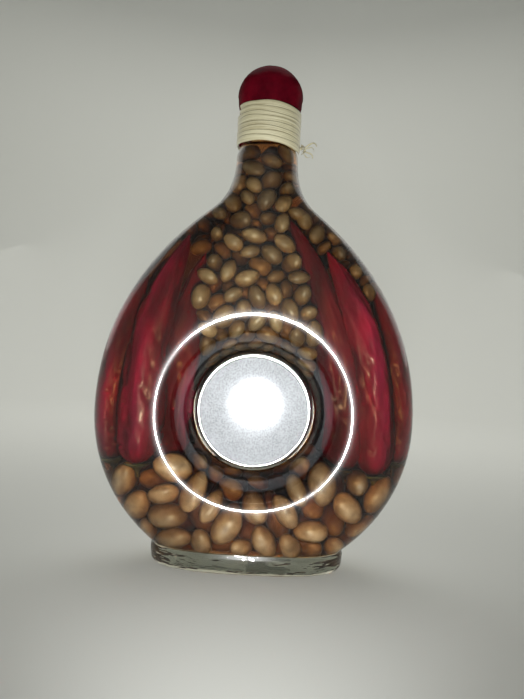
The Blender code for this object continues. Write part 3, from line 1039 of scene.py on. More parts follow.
    def neck(self, wall: float) -> list[np.ndarray]:
        """Half sections from the neck's root up to its top."""
        return [self.section(z, wall) for z in np.linspace(self.root_z, self.neck_top, 20)]

    def floor(self, wall: float, bottom: float) -> list[np.ndarray]:
        """Half sections of the inside from its lowest full row down to its rounded floor.

        Args:
            wall: The depth in the glass.
            bottom: The floor's height.

        Returns:
            The rows, closed at the middle of the floor.
        """
        drop = self.floor_row - bottom
        rows = []
        for share in (0.0, 0.2, 0.4, 0.6, 0.75, 0.87, 0.95, 1.0):
            inset = self.floor_corner * (1 - math.sqrt(1 - share**4))
            rows.append(self.section(self.floor_row - drop * share, wall, inset))
        return rows + self.closing(rows[-1])

    def foot(self) -> list[np.ndarray]:
        """Half sections of the plumb foot with its rolled lower edge and flat sole.

        Returns:
            The rows, closed at the middle of the sole.
        """
        lip = self.foot_lip
        edge = [(self.foot_top, 0.0)] + [(height, lip * share) for height, share in self.foot_roll]
        for turn in (0, 15, 30, 45, 60, 75, 90):
            angle = math.radians(turn)
            height = self.foot_edge * (1 - math.sin(angle))
            edge.append((height, lip * 0.6 * (1 - turn / 90) - self.foot_edge * (1 - math.cos(angle))))
        rows = []
        for height, out in edge:
            row = self.section(self.foot_top, 0.0, -out)
            row[:, 2] = height
            rows.append(row)
        return rows + self.closing(rows[-1])

    @staticmethod
    def closing(row: np.ndarray) -> list[np.ndarray]:
        """Rows that shrink a half section to its centre."""
        middle = np.array((0.0, 0.0, row[0, 2]))
        return [middle + (row - middle) * share for share in (0.97, 0.8, 0.5, 0.0)]


@dataclass
class GlassFlask:
    """The flask's glass, its mouth and bore, and the oil that fills it."""

    form: FlaskForm = field(default_factory=FlaskForm)
    mouth_z: float = 0.229
    mouth_radius: float = 0.0138
    bore_radius: float = 0.00925
    bore_bottom: float = 0.205
    flare_z: float = 0.1995
    lip: float = 0.0012
    oil_top: float = 0.2065
    oil_overlap: float = 0.00006
    finish_rings: tuple[Pair, ...] = ((0.01522, 0.2015), (0.0149, 0.2028), (0.0143, 0.2045))
    inner_flare_z: float = 0.2018
    glass: ClearGlass = field(default_factory=ClearGlass)
    wetted: WettedGlass = field(default_factory=WettedGlass)
    oil: ChilliOil = field(default_factory=ChilliOil)

    def part(self, rows: Sequence[np.ndarray] | np.ndarray, material: bpy.types.Material) -> Piece:
        """Lays one sheet of a shell and gives it its material.

        Args:
            rows: The sheet's rows of points.
            material: Its material.

        Returns:
            The open sheet.
        """
        sheet = laid_grid("sheet", np.stack(list(rows)))
        sheet.data.materials.append(material)
        return sheet

    def mouth(self) -> list[np.ndarray]:
        """Half rings over the finish, the rounded lip and down the bore.

        Returns:
            The rings.
        """
        form = self.form
        rows = [form.ring(form.neck_radius, form.neck_top)]
        rows += [form.ring(radius, z) for radius, z in self.finish_rings]
        rows += [form.ring(self.mouth_radius, z) for z in (0.2065, 0.214, 0.221, self.mouth_z - self.lip)]
        for turn in (30, 60, 90):
            angle = math.radians(turn)
            out = self.lip * (1 - math.cos(angle))
            height = self.mouth_z - self.lip * (1 - math.sin(angle))
            rows.append(form.ring(self.mouth_radius - out, height))
        for turn in (90, 60, 30, 0):
            angle = math.radians(turn)
            out = self.lip * (1 - math.cos(angle))
            height = self.mouth_z - self.lip * (1 - math.sin(angle))
            rows.append(form.ring(self.bore_radius + out, height))
        rows += [form.ring(self.bore_radius, z) for z in (0.221, 0.214, 0.2085, self.oil_top)]
        return rows

    def inside_rows(self, wall: float) -> list[np.ndarray]:
        """Half sections of the inside above the neck's root, up to the oil's level.

        Args:
            wall: The depth in the glass.

        Returns:
            The rows.
        """
        form = self.form
        grown = form.wall - wall
        rows = [row for row in form.neck(wall) if row[0, 2] < self.flare_z - 0.0008]
        rows.append(form.ring(form.neck_radius - wall, self.flare_z))
        between = (form.neck_radius - wall + self.bore_radius + grown) / 2
        rows.append(form.ring(between, self.inner_flare_z))
        rows.append(form.ring(self.bore_radius + grown, self.bore_bottom))
        rows.append(form.ring(self.bore_radius + grown, self.oil_top))
        return rows

    def shell(self, name: str, parts: Sequence[Piece]) -> Piece:
        """Joins half sheets, mirrors them to the back and closes them.

        Args:
            name: The shell's name.
            parts: Its front half, as sheets.

        Returns:
            The closed shell.
        """
        piece = joined(name, parts)
        apply_modifier(
            piece, "MIRROR", use_axis=(False, True, False), use_mirror_merge=True, merge_threshold=WELD,
        )
        weld(piece)
        smooth(piece, 60.0)
        return piece

    def build_glass(self) -> Piece:
        """Builds the glass: outside, mouth, bore and inside as one closed wall.

        Returns:
            The glass.
        """
        form = self.form
        dry, wet = self.glass.material(), self.wetted.material()
        glass = self.shell("flask_glass", (
            self.part(form.front(form.foot_top, 0.0, web=True), dry),
            self.part(form.foot(), dry),
            self.part(form.neck(0.0), dry),
            self.part(self.mouth(), dry),
            self.part(form.front(form.floor_row, form.wall, web=False), wet),
            self.part(form.floor(form.wall, form.floor_z), wet),
            self.part(self.inside_rows(form.wall), wet),
        ))
        finish_piece(glass, "bottle", ("glass_flask",))
        return glass

    def build_oil(self) -> Piece:
        """Builds the oil, which reaches a hair into the glass so that no gap shows.

        Returns:
            The oil.
        """
        form = self.form
        wall = form.wall - self.oil_overlap
        material = self.oil.material()
        top = self.inside_rows(wall)
        oil = self.shell("oil_fill", (
            self.part(form.front(form.floor_row, wall, web=False), material),
            self.part(form.floor(wall, form.floor_z - self.oil_overlap), material),
            self.part(top + form.closing(top[-1]), material),
        ))
        finish_piece(oil, "bottle", ("oil_column",))
        return oil


# ---- contents ---------------------------------------------------------------------------------
@dataclass(frozen=True)
class PodShape:
    """One chilli: its stem end, the point that bends it, its tip and its greatest radius."""

    name: str
    stem_end: Point
    control: Point
    tip: Point
    radius: float

    def spine(self, share: float) -> Vector:
        """The point at share of the way from the stem end to the tip."""
        start, middle, end = Vector(self.stem_end), Vector(self.control), Vector(self.tip)
        return (1 - share) ** 2 * start + 2 * (1 - share) * share * middle + share**2 * end

    def along(self, share: float) -> Vector:
        """The direction of the spine at share."""
        start, middle, end = Vector(self.stem_end), Vector(self.control), Vector(self.tip)
        return (2 * (1 - share) * (middle - start) + 2 * share * (end - middle)).normalized()


PODS = tuple(PodShape(*row) for row in (
    ("left_outer", (-0.064, -0.004, 0.051), (-0.073, -0.005, 0.092), (-0.052, -0.004, 0.138), 0.0072),
    ("left_middle", (-0.053, -0.012, 0.050), (-0.057, -0.014, 0.105), (-0.034, -0.008, 0.159), 0.007),
    ("left_inner", (-0.041, -0.006, 0.050), (-0.042, -0.010, 0.100), (-0.026, -0.009, 0.150), 0.0058),
    ("left_rear", (-0.056, 0.009, 0.052), (-0.062, 0.011, 0.090), (-0.042, 0.008, 0.146), 0.0074),
    ("left_back", (-0.042, 0.009, 0.052), (-0.045, 0.012, 0.090), (-0.028, 0.011, 0.130), 0.0060),
    ("right_inner", (0.044, -0.009, 0.052), (0.047, -0.015, 0.110), (0.011, -0.008, 0.169), 0.0060),
    ("right_middle", (0.057, -0.010, 0.050), (0.0595, -0.015, 0.108), (0.030, -0.010, 0.154), 0.0064),
    ("right_outer", (0.0655, -0.003, 0.056), (0.073, -0.003, 0.093), (0.052, -0.004, 0.138), 0.0058),
    ("right_low", (0.052, 0.003, 0.050), (0.054, 0.001, 0.076), (0.047, 0.001, 0.110), 0.0052),
    ("right_rear", (0.060, 0.010, 0.057), (0.0615, 0.011, 0.092), (0.047, 0.009, 0.138), 0.0062),
    ("right_back", (0.044, 0.012, 0.052), (0.044, 0.013, 0.095), (0.029, 0.011, 0.132), 0.0058),
))

# The rows of a calyx and its stem: share of the pod's radius, height in metres, how lobed.
CALYX_ROWS = (
    (0.00, 0.0004, 0.0), (0.50, 0.0003, 0.0), (0.86, -0.0006, 1.0), (0.90, -0.0001, 1.0),
    (0.66, 0.0010, 0.5), (0.40, 0.0018, 0.2), (0.24, 0.0030, 0.0), (0.17, 0.0042, 0.0),
    (0.16, 0.0056, 0.0), (0.19, 0.0062, 0.0), (0.17, 0.0064, 0.0), (0.00, 0.0063, 0.0),
)


@dataclass
class Chillies:
    """The chilli pods with their calyxes and trimmed stems."""

    form: FlaskForm = field(default_factory=FlaskForm)
    rings: int = 90
    sides: int = 44
    breadth: float = 1.34
    depth: float = 1.02
    clearance: float = 0.0005
    least_depth: float = 0.0002
    fold_depth: float = 0.20
    dent_depth: float = 0.08
    crease_depth: float = 0.16
    crease_width: float = 0.10
    lobes: int = 5
    lobe_reach: float = 0.16
    lobe_rise: float = 0.0007
    stem_bend: float = 0.0007
    stem_length: float = 0.006
    skin: ChilliSkin = field(default_factory=ChilliSkin)
    calyx: Speckled = Speckled(
        "green_calyx", (0.010, 0.016, 0.006), (0.050, 0.062, 0.022), 420.0, (0.35, 0.6),
        bump_height=0.0005,
    )

    @staticmethod
    def thickness(share: float) -> float:
        """A pod's thickness along its length: blunt shoulder, long taper to the tip.

        Args:
            share: How far along the pod, 0 to 1.

        Returns:
            The thickness, 0 to 1.
        """
        blunt = math.sqrt(max(1 - (1 - min(share / 0.1, 1.0)) ** 2, 0.0))
        taper = max(1 - max((share - 0.1) / 0.9, 0.0) ** 3.6, 0.0) ** 0.8
        return blunt * taper

    def pressed(self, points: np.ndarray) -> np.ndarray:
        """Points held within the glass, so that a pod lies flat against it where they meet.

        Args:
            points: The points, as rows of (x, y, z).

        Returns:
            The points, none of them in the glass.
        """
        form = self.form
        x, y, z = points[..., 0], points[..., 1], points[..., 2]
        room = form.half_width(z) - form.wall - self.clearance
        x = np.clip(x, -room, room)
        deep = np.maximum(form.skin(x, z, form.wall) - self.clearance, self.least_depth)
        return np.stack((x, np.clip(y, -deep, deep), z), axis=-1)

    def pod_points(self, pod: PodShape, seed: float) -> np.ndarray:
        """Rows round the pod, with lengthwise folds, dents and a few cross creases.

        Args:
            pod: The pod's shape.
            seed: Where its folds are read in the noise.

        Returns:
            Rows of points from the stem end to the tip.
        """
        points = np.zeros((self.rings + 1, self.sides + 1, 3))
        for i in range(self.rings + 1):
            share = 0.5 - 0.5 * math.cos(math.pi * i / self.rings)
            share = 0.55 * share + 0.45 * share**1.5
            spot, ahead = pod.spine(share), pod.along(share)
            side = ahead.cross(Vector((0.0, 1.0, 0.0))).normalized()
            front = side.cross(ahead).normalized()
            size = pod.radius * self.thickness(share)
            for j in range(self.sides + 1):
                angle = 2 * math.pi * (j % self.sides) / self.sides
                place = Vector((math.cos(angle), math.sin(angle), 0.0))
                folds = noise.noise(place * 1.35 + Vector((seed, seed * 0.7, share * 2.2)))
                dents = noise.noise(place * 2.6 + Vector((seed * 2.1, 7.0, share * 9.0)))
                crease = abs(noise.noise(Vector((place.x * 1.7, place.y * 1.7 + seed, share * 6.0))))
                groove = self.crease_depth * max(self.crease_width - crease, 0.0) / self.crease_width
                reach = size * (1.0 + self.fold_depth * folds + self.dent_depth * dents - groove)
                points[i, j] = spot + side * (place.x * reach * self.breadth)
                points[i, j] += np.array(front * (place.y * reach * self.depth))
        return self.pressed(points)

    def calyx_points(self, pod: PodShape) -> np.ndarray:
        """Rows over a five-lobed calyx and down its stem.

        Args:
            pod: The shape of the pod under it.

        Returns:
            Rows of points from the pod to the cut end of the stem.
        """
        start, back = Vector(pod.stem_end), -pod.along(0.0)
        side = back.cross(Vector((0.0, 1.0, 0.0))).normalized()
        front = side.cross(back).normalized()
        steps = 30
        points = np.zeros((len(CALYX_ROWS), steps + 1, 3))
        for i, (share, height, lobed) in enumerate(CALYX_ROWS):
            for j in range(steps + 1):
                angle = 2 * math.pi * (j % steps) / steps
                reach = pod.radius * share * (1 + self.lobe_reach * lobed * math.cos(self.lobes * angle))
                rise = height + self.lobe_rise * lobed * (1 - math.cos(self.lobes * angle)) / 2
                bend = side * (self.stem_bend * (height / self.stem_length) ** 2)
                spot = start + back * rise + bend
                points[i, j] = spot + side * (math.cos(angle) * reach) + front * (math.sin(angle) * reach)
        return points

    def build(self) -> list[Piece]:
        """Builds every pod and calyx.

        Returns:
            The pods, without the calyxes.
        """
        skin, green = self.skin.material(), self.calyx.material()
        pods = []
        for index, shape in enumerate(PODS):
            pod = laid_grid("pod_" + shape.name, self.pod_points(shape, 3.1 * index + 1.7))
            weld(pod)
            smooth(pod, 180.0)
            pod.data.materials.append(skin)
            finish_piece(pod, "bottle", ("chilli_" + shape.name,))
            stalk = laid_grid("calyx_" + shape.name, self.calyx_points(shape))
            weld(stalk)
            smooth(stalk, 70.0)
            stalk.data.materials.append(green)
            finish_piece(stalk, "bottle", ("stalk_" + shape.name,))
            pods.append(pod)
        return pods


class BeanKind(Enum):
    """The two sizes of beans, as the radius and spacing of the three balls that each packs as."""

    LARGE = (0.0058, 0.0030)
    SMALL = (0.00385, 0.0017)


@dataclass(frozen=True)
class BeanBed:
    """A place where beans lie packed: its outline from the front, and what fills it."""

    name: str
    node: str
    kind: BeanKind
    count: int
    seed: int
    heights: tuple[float, ...]
    left: tuple[float, ...]
    right: tuple[float, ...]
    sink: float
    skin: BeanSkin

    def inside(self, points: np.ndarray) -> np.ndarray:
        """Which points lie within the bed's outline.

        Args:
            points: The points, as rows of (x, y, z).

        Returns:
            True for each point inside.
        """
        z = points[:, 2]
        low = np.interp(z, self.heights, self.left)
        high = np.interp(z, self.heights, self.right)
        tall = (z > self.heights[0]) & (z < self.heights[-1])
        return tall & (points[:, 0] > low) & (points[:, 0] < high)


LARGE_SKIN = BeanSkin("large_bean_skin", (0.120, 0.080, 0.048), (0.240, 0.166, 0.104))
SMALL_SKIN = BeanSkin("small_bean_skin", (0.072, 0.048, 0.024), (0.156, 0.112, 0.060))

BEDS = (
    BeanBed(
        "beans_lower", "bean_bed_lower", BeanKind.LARGE, 84, 5,
        (0.009, 0.030, 0.056), (-0.080, -0.080, -0.080), (0.080, 0.080, 0.080), 0.00003, LARGE_SKIN,
    ),
    BeanBed(
        "beans_upper", "bean_bed_upper", BeanKind.SMALL, 252, 11,
        (0.100, 0.132, 0.152, 0.166, 0.180, 0.2062),
        (-0.024, -0.024, -0.026, -0.034, -0.030, -0.016),
        (0.026, 0.024, 0.018, 0.012, 0.024, 0.016), 0.00001, SMALL_SKIN,
    ),
    BeanBed(
        "beans_shoulder", "bean_bed_shoulder", BeanKind.SMALL, 26, 23,
        (0.138, 0.143, 0.155, 0.166, 0.180),
        (0.045, 0.040, 0.030, 0.018, 0.014),
        (0.062, 0.060, 0.050, 0.036, 0.026), 0.00003, SMALL_SKIN,
    ),
)


class Solids:
    """The walls and pods that beans can't enter."""

    def __init__(self, cavity: Piece, pods: Sequence[Piece]) -> None:
        """Reads the surfaces of the cavity and the pods."""
        self.cavity = self.tree((cavity,))
        self.pods = self.tree(pods)

    @staticmethod
    def tree(pieces: Sequence[Piece]) -> BVHTree:
        """A search tree over the faces of several pieces.

        Args:
            pieces: The pieces.

        Returns:
            The tree.
        """
        points: list[Vector] = []
        faces: list[tuple[int, ...]] = []
        for piece in pieces:
            first = len(points)
            points += [vertex.co.copy() for vertex in piece.data.vertices]
            faces += [tuple(first + i for i in face.vertices) for face in piece.data.polygons]
        return BVHTree.FromPolygons(points, faces)

    def push(self, points: np.ndarray, sizes: np.ndarray) -> np.ndarray:
        """Moves balls out of the glass and the pods.

        Args:
            points: The balls' centres.
            sizes: Their radii.

        Returns:
            The centres, each clear of both.
        """
        moved = points.copy()
        for index, (point, size) in enumerate(zip(points, sizes)):
            spot = Vector(point)
            for tree, sign in ((self.pods, 1.0), (self.cavity, -1.0)):
                near, normal, _, _ = tree.find_nearest(spot)
                room = (spot - near).dot(normal) * sign
                if room < size:
                    spot += normal * (sign * (size - room))
            moved[index] = spot
        return moved

    def free(self, point: np.ndarray, size: float) -> bool:
        """True where a ball fits."""
        return bool(np.allclose(self.push(point[None, :], np.array([size]))[0], point, atol=1e-7))


@dataclass
class BeanPacker:
    """Packs beans by letting them grow, sink a little and push each other apart."""

    solids: Solids
    rounds: int = 170
    gap: float = 0.00025
    half_depth: float = 0.026
    batch: int = 1500
    first_spacing: float = 2.4
    least_spacing: float = 0.0005
    closer: float = 0.93
    young: float = 0.6
    full_grown: float = 0.55
    end_ball: float = 0.93
    sizes: Pair = (0.80, 1.13)

    def start(self, bed: BeanBed, random: np.random.Generator) -> np.ndarray:
        """Scatters bean centres in a bed.

        Args:
            bed: The bed.
            random: The source of random numbers.

        Returns:
            The centres, well apart from each other.
        """
        box = np.array((
            (min(bed.left), -self.half_depth, bed.heights[0]),
            (max(bed.right), self.half_depth, bed.heights[-1]),
        ))
        centres: list[np.ndarray] = []
        spacing = bed.kind.value[0] * self.first_spacing
        while len(centres) < bed.count and spacing >= self.least_spacing:
            tries = random.uniform(box[0], box[1], (self.batch, 3))
            for point in tries[bed.inside(tries)]:
                if len(centres) == bed.count:
                    break
                far = all(np.linalg.norm(point - other) > spacing for other in centres)
                if far and self.solids.free(point, bed.kind.value[0] * self.young):
                    centres.append(point)
            spacing *= self.closer
        return np.array(centres)

    def pack(self, bed: BeanBed) -> tuple[np.ndarray, np.ndarray, np.ndarray]:
        """Packs one bed.

        Args:
            bed: The bed.

        Returns:
            The beans' middles, their long axes and their relative sizes.
        """
        random = np.random.default_rng(bed.seed)
        ball, reach = bed.kind.value
        middles = self.start(bed, random)
        axes = random.normal(size=middles.shape)
        axes /= np.linalg.norm(axes, axis=1)[:, None]
        scale = random.uniform(*self.sizes, len(middles))
        offsets = np.array((-1.0, 0.0, 1.0))[None, :, None]
        owner = np.repeat(np.arange(len(middles)), 3)
        other = owner[:, None] != owner[None, :]
        sizes = np.repeat(scale * ball, 3) * np.tile((self.end_ball, 1.0, self.end_ball), len(middles))
        for step in range(self.rounds):
            growth = self.young + (1.0 - self.young) * min(step / (self.full_grown * self.rounds), 1.0)
            now = sizes * growth
            middles[:, 2] -= bed.sink
            balls = middles[:, None, :] + offsets * axes[:, None, :] * (scale * reach)[:, None, None]
            balls = balls.reshape(-1, 3)
            apart = balls[:, None, :] - balls[None, :, :]
            distance = np.sqrt((apart**2).sum(axis=2)) + 1e-9
            overlap = now[:, None] + now[None, :] + self.gap - distance
            touching = (overlap > 0) & other
            weight = np.where(touching, overlap / distance, 0.0)
            shift = (apart * weight[:, :, None]).sum(axis=1) * 0.5
            shift /= np.maximum(touching.sum(axis=1), 1)[:, None] ** 0.5
            balls = self.solids.push(balls + shift, now + self.gap)
            trio = balls.reshape(-1, 3, 3)
            middles = trio.mean(axis=1)
            axes = trio[:, 2] - trio[:, 0]
            axes /= np.linalg.norm(axes, axis=1)[:, None]
        worst = overlap[other].max() / MM
        LOG.info("%s: %d beans packed, worst overlap %.2f mm", bed.name, len(middles), worst)
        return middles, axes, scale


@dataclass
class Beans:
    """The loose beans, packed bed by bed and joined into one piece for each bed."""

    packer: BeanPacker
    bend: float = 0.10
    dent: float = 0.16
    dent_size: Pair = (0.42, 0.34)
    width: float = 1.07
    thin: Pair = (0.80, 0.98)

    def model(self, kind: BeanKind) -> Piece:
        """Models one bean: a flattened ball, bent a little, with a dent where it was joined to its pod.

        Args:
            kind: The size of bean.

        Returns:
            The bean, one unit in half length.
        """
        deselect()
        if kind is BeanKind.LARGE:
            bpy.ops.mesh.primitive_uv_sphere_add(segments=20, ring_count=12, radius=1.0)
        else:
            bpy.ops.mesh.primitive_uv_sphere_add(segments=16, ring_count=10, radius=1.0)
        bean = bpy.context.object
        for vertex in bean.data.vertices:
            x, y, z = vertex.co.z, vertex.co.x, vertex.co.y
            long = x * (1.0 - 0.06 * y)
            wide = y * (1.0 - 0.10 * x) + self.bend * x * x - 0.04
            near = math.exp(-((x / self.dent_size[0]) ** 2) - ((z / self.dent_size[1]) ** 2))
            dent = self.dent * near if y < 0 else 0.0
            vertex.co = (long, wide + dent, z * (1.0 - 0.12 * x * x))
        bean.data.update()
        return bean

    def build_bed(self, bed: BeanBed) -> Piece:
        """Builds one bed's beans.

        Args:
            bed: The bed.

        Returns:
            The beans, joined into one piece.
        """
        middles, axes, scale = self.packer.pack(bed)
        random = np.random.default_rng(bed.seed + 1)
        ball, reach = bed.kind.value
        model = self.model(bed.kind)
        copies = []
        for middle, axis, size in zip(middles, axes, scale):
            bean = model.copy()
            bean.data = model.data.copy()
            bpy.context.scene.collection.objects.link(bean)
            long = Vector(axis)
            turn = long.to_track_quat("X", "Z").to_matrix().to_4x4()
            spin = Matrix.Rotation(float(random.uniform(0, 2 * math.pi)), 4, "X")
            half = size * (ball + reach)
            thin = float(random.uniform(*self.thin))
            sizes = Matrix.Diagonal((half, size * ball * self.width, size * ball * thin, 1.0))
            bean.data.transform(Matrix.Translation(Vector(middle)) @ turn @ spin @ sizes)
            shade = bean.data.attributes.new("shade", "FLOAT", "POINT")
            tone = float(random.uniform(0.0, 1.0))
            shade.data.foreach_set("value", [tone] * len(bean.data.vertices))
            copies.append(bean)
        bpy.data.objects.remove(model)
        piece = joined(bed.name, copies)
        smooth(piece, 180.0)
        piece.data.materials.append(bed.skin.material())
        finish_piece(piece, "bottle", (bed.node,))
        return piece

    def build(self) -> None:
        """Builds every bed."""
        for bed in BEDS:
            self.build_bed(bed)


# ---- disc, stopper and wrapping -----------------------------------------------------------------
@dataclass
class FrontDisc:
    """The cast disc in the front dish, and the glue behind it."""

    disc_edge: float = 0.00028
    hollow: float = 0.00002
    glue_slope: float = 0.0004
    glue_reach: float = 0.94
    glue_ragged: float = 0.05
    metal: CastPewter = field(default_factory=CastPewter)
    glue: Speckled = Speckled(
        "set_glue", (0.62, 0.62, 0.55), (0.80, 0.80, 0.72), 160.0, (0.12, 0.35),
        bump_height=0.0003, see_through=0.5,
    )

    def facing_front(self, piece: Piece, centre_z: float) -> None:
        """Turns a piece about Z so that its top faces -Y, and raises it to its place."""
        turn = Matrix.Rotation(math.pi / 2, 4, "X")
        piece.data.transform(Matrix.Translation((0.0, 0.0, centre_z)) @ turn)

    def build(self) -> None:
        """Builds the disc and the glue."""
        low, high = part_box("cast_disc")
        radius = (high[0] - low[0]) / 2
        centre_z = (high[2] + low[2]) / 2
        front, back = -low[1], -high[1]
        edge = self.disc_edge
        disc = turned("cast_front_disc", (
            (0.0, front - self.hollow),
            (radius * 0.5, front - self.hollow / 2),
            (radius - 1.6 * edge, front),
            (radius - 0.9 * edge, front - 0.08 * edge),
            (radius - 0.4 * edge, front - 0.30 * edge),
            (radius - 0.1 * edge, front - 0.70 * edge),
            (radius, front - 1.3 * edge),
            (radius, back + edge),
            (radius - edge, back),
            (0.0, back),
        ), 160)
        self.facing_front(disc, centre_z)
        disc.data.materials.append(self.metal.material())
        finish_piece(disc, "bottle", ("cast_disc",))

        low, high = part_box("glue_pad")
        reach = (high[0] - low[0]) / 2
        front, back = -low[1], -high[1]
        profile = ((0.0, front), (reach - self.glue_slope, front), (reach, back), (0.0, back))
        glue = turned("glue_layer", profile)
        for vertex in glue.data.vertices:
            angle = math.atan2(vertex.co.y, vertex.co.x)
            away = Vector((math.cos(angle), math.sin(angle), 0.0))
            ragged = self.glue_reach + self.glue_ragged * noise.noise(away * 2.3)
            vertex.co.x *= ragged
            vertex.co.y *= ragged
        self.facing_front(glue, centre_z)
        glue.data.materials.append(self.glue.material())
        finish_piece(glue, "bottle", ("glue_pad",))


@dataclass
class Stopper:
    """The wax-dipped stopper: wax, turned head and cork, and the wax left on the mouth."""

    gap: float = 0.0003
    softening: float = 0.0003
    mouth_radius: float = 0.0138
    dome_z: float = 0.2315
    skirt_top: float = 0.2300
    skirt: tuple[Pair, ...] = ((0.0150, 0.0), (0.01528, 0.0006), (0.0157, 0.0026))
    head_dome_z: float = 0.2340
    head_side_z: float = 0.2310
    collar_middle_z: float = 0.216
    cork_rounding: float = 0.0006
    cork_side: tuple[Pair, ...] = ((0.0, 0.226), (0.0, 0.219), (0.0002, 0.213))
    dip_depth: float = 0.00030
    run_depth: float = 0.00026
    wax: RedWax = field(default_factory=RedWax)
    cork: Speckled = Speckled(
        "natural_cork", (0.20, 0.105, 0.045), (0.55, 0.37, 0.20), 620.0, (0.8, 0.95),
        stretch=(1.0, 1.0, 0.6), bump_height=0.0009,
    )
    wood: Speckled = Speckled(
        "turned_beech", (0.38, 0.22, 0.11), (0.66, 0.46, 0.27), 160.0, (0.45, 0.65),
        stretch=(1.0, 1.0, 0.12), bump_height=0.0003,
    )

    def build_wax(self) -> None:
        """Builds the wax over the stopper's head, a little uneven as a dip leaves it."""
        low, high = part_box("wax_cap")
        head_low, head_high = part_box("stopper_head")
        radius = high[0]
        top, bottom = high[2], low[2]
        head = head_high[0] + self.gap
        head_top = head_high[2] + self.gap
        mouth = self.mouth_radius + self.gap
        inner = dome_profile(head, self.head_dome_z, head_top)
        wax = turned("wax_dome", (
            *dome_profile(radius, self.dome_z, top, 26),
            (radius - self.softening, self.skirt_top),
            *((reach, bottom + rise) for reach, rise in reversed(self.skirt)),
            (mouth + self.softening, bottom),
            (mouth, bottom + 0.0005),
            (mouth, head_low[2] - self.gap),
            (head, head_low[2]),
            *reversed(inner),
        ), 128)

        def uneven(place: Vector) -> Vector:
            """Shifts only the outer face, inwards, by soft dips and low vertical runs.

            Args:
                place: A vertex's place.

            Returns:
                Its move.
            """
            outward = Vector((place.x, place.y, 0.0))
            reach = outward.length
            if reach > 1e-6:
                outward /= reach
            rise = max(place.z - self.dome_z, 0.0) / (top - self.dome_z)
            if place.z < bottom + 0.003 or (reach / radius) ** 2 + rise**2 < 0.95:
                return Vector()
            soft = noise.noise(place * 90.0) * 0.5 - 0.5
            runs = noise.noise(Vector((outward.x * 3.2, outward.y * 3.2, place.z * 30.0))) * 0.5 - 0.5
            away = (outward + Vector((0.0, 0.0, rise))).normalized()
            return away * (self.dip_depth * soft + self.run_depth * runs)

        push_points(wax, uneven)
        smooth(wax, 50.0)
        material = self.wax.material()
        wax.data.materials.append(material)
        finish_piece(wax, "stopper", ("wax_cap",))

        low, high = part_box("wax_collar")
        collar = turned("wax_on_mouth", (
            (mouth, high[2]), (high[0] - self.softening, high[2]), (high[0], high[2] - self.softening),
            (high[0], self.collar_middle_z), (high[0], low[2] + 0.0008), (high[0] - 0.0004, low[2]),
            (mouth, low[2]), (mouth, high[2]),
        ))
        collar.data.materials.append(material)
        finish_piece(collar, "bottle", ("wax_collar",))

    def build_core(self) -> None:
        """Builds the cork and the turned head that it is glued into."""
        low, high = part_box("cork_shank")
        radius, bottom, top = high[0], low[2], high[2]
        cork = turned("cork_plug", (
            (0.0, top), (radius - self.cork_rounding, top), (radius, top - self.cork_rounding),
            *((radius - inset, z) for inset, z in self.cork_side),
            (radius - 0.0005, bottom + 0.0010), (radius - 0.0012, bottom + 0.0002),
            (radius - 0.0020, bottom), (0.0, bottom),
        ))
        cork.data.materials.append(self.cork.material())
        finish_piece(cork, "stopper", ("cork_shank",))

        low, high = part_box("stopper_head")
        reach, bottom = high[0], low[2]
        socket = radius + self.gap
        head = turned("turned_head", (
            *dome_profile(reach, self.head_dome_z, high[2]), (reach, self.head_side_z),
            (reach - self.softening, bottom + 0.0004), (reach - 0.0010, bottom),
            (socket + self.softening, bottom), (socket, bottom + self.softening),
            (socket, top + self.gap), (0.0, top + self.gap),
        ))
        head.data.materials.append(self.wood.material())
        finish_piece(head, "stopper", ("stopper_head",))

    def build(self) -> None:
        """Builds the whole stopper."""
        self.build_wax()
        self.build_core()


@dataclass(frozen=True)
class Fibre:
    """A short flat fibre at the knot; its route is measured from the knot's place on the wrap."""

    name: str
    route: tuple[Point, ...]
    width: float
    curl: float


KNOT_FIBRES = (
    Fibre("loop", (
        (-0.0022, 0.0030, 0.0010), (-0.0008, 0.0012, 0.0016), (-0.0004, -0.0008, 0.0006),
        (-0.0016, -0.0026, -0.0004),
    ), 0.0011, 0.6),
    Fibre("cross", (
        (-0.0018, 0.0002, 0.0024), (0.0001, 0.0004, 0.0010), (0.0001, 0.0002, -0.0008),
        (-0.0014, 0.0006, -0.0022),
    ), 0.0010, 0.5),
)
UPPER_TAIL_FIBRES = (
    Fibre("a", (
        (-0.0006, -0.0002, 0.0002), (0.0022, -0.0014, 0.0022), (0.0044, -0.0028, 0.0026),
        (0.0056, -0.0042, 0.0004),
    ), 0.0005, 2.6),
    Fibre("b", (
        (-0.0006, -0.0002, 0.0), (0.0016, -0.0008, 0.0006), (0.0036, -0.0020, 0.0006),
        (0.0046, -0.0030, -0.0016),
    ), 0.00035, 3.4),
)
LOWER_TAIL_FIBRES = (
    Fibre("c", (
        (-0.0006, -0.0004, -0.0006), (0.0012, -0.0010, -0.0016), (0.0032, -0.0016, -0.0024),
        (0.0042, -0.0016, -0.0046),
    ), 0.00048, 2.2),
    Fibre("d", (
        (-0.0008, -0.0004, -0.0010), (0.0002, -0.0012, -0.0030), (0.0014, -0.0014, -0.0042),
        (0.0030, -0.0022, -0.0040),
    ), 0.00034, 3.0),
)


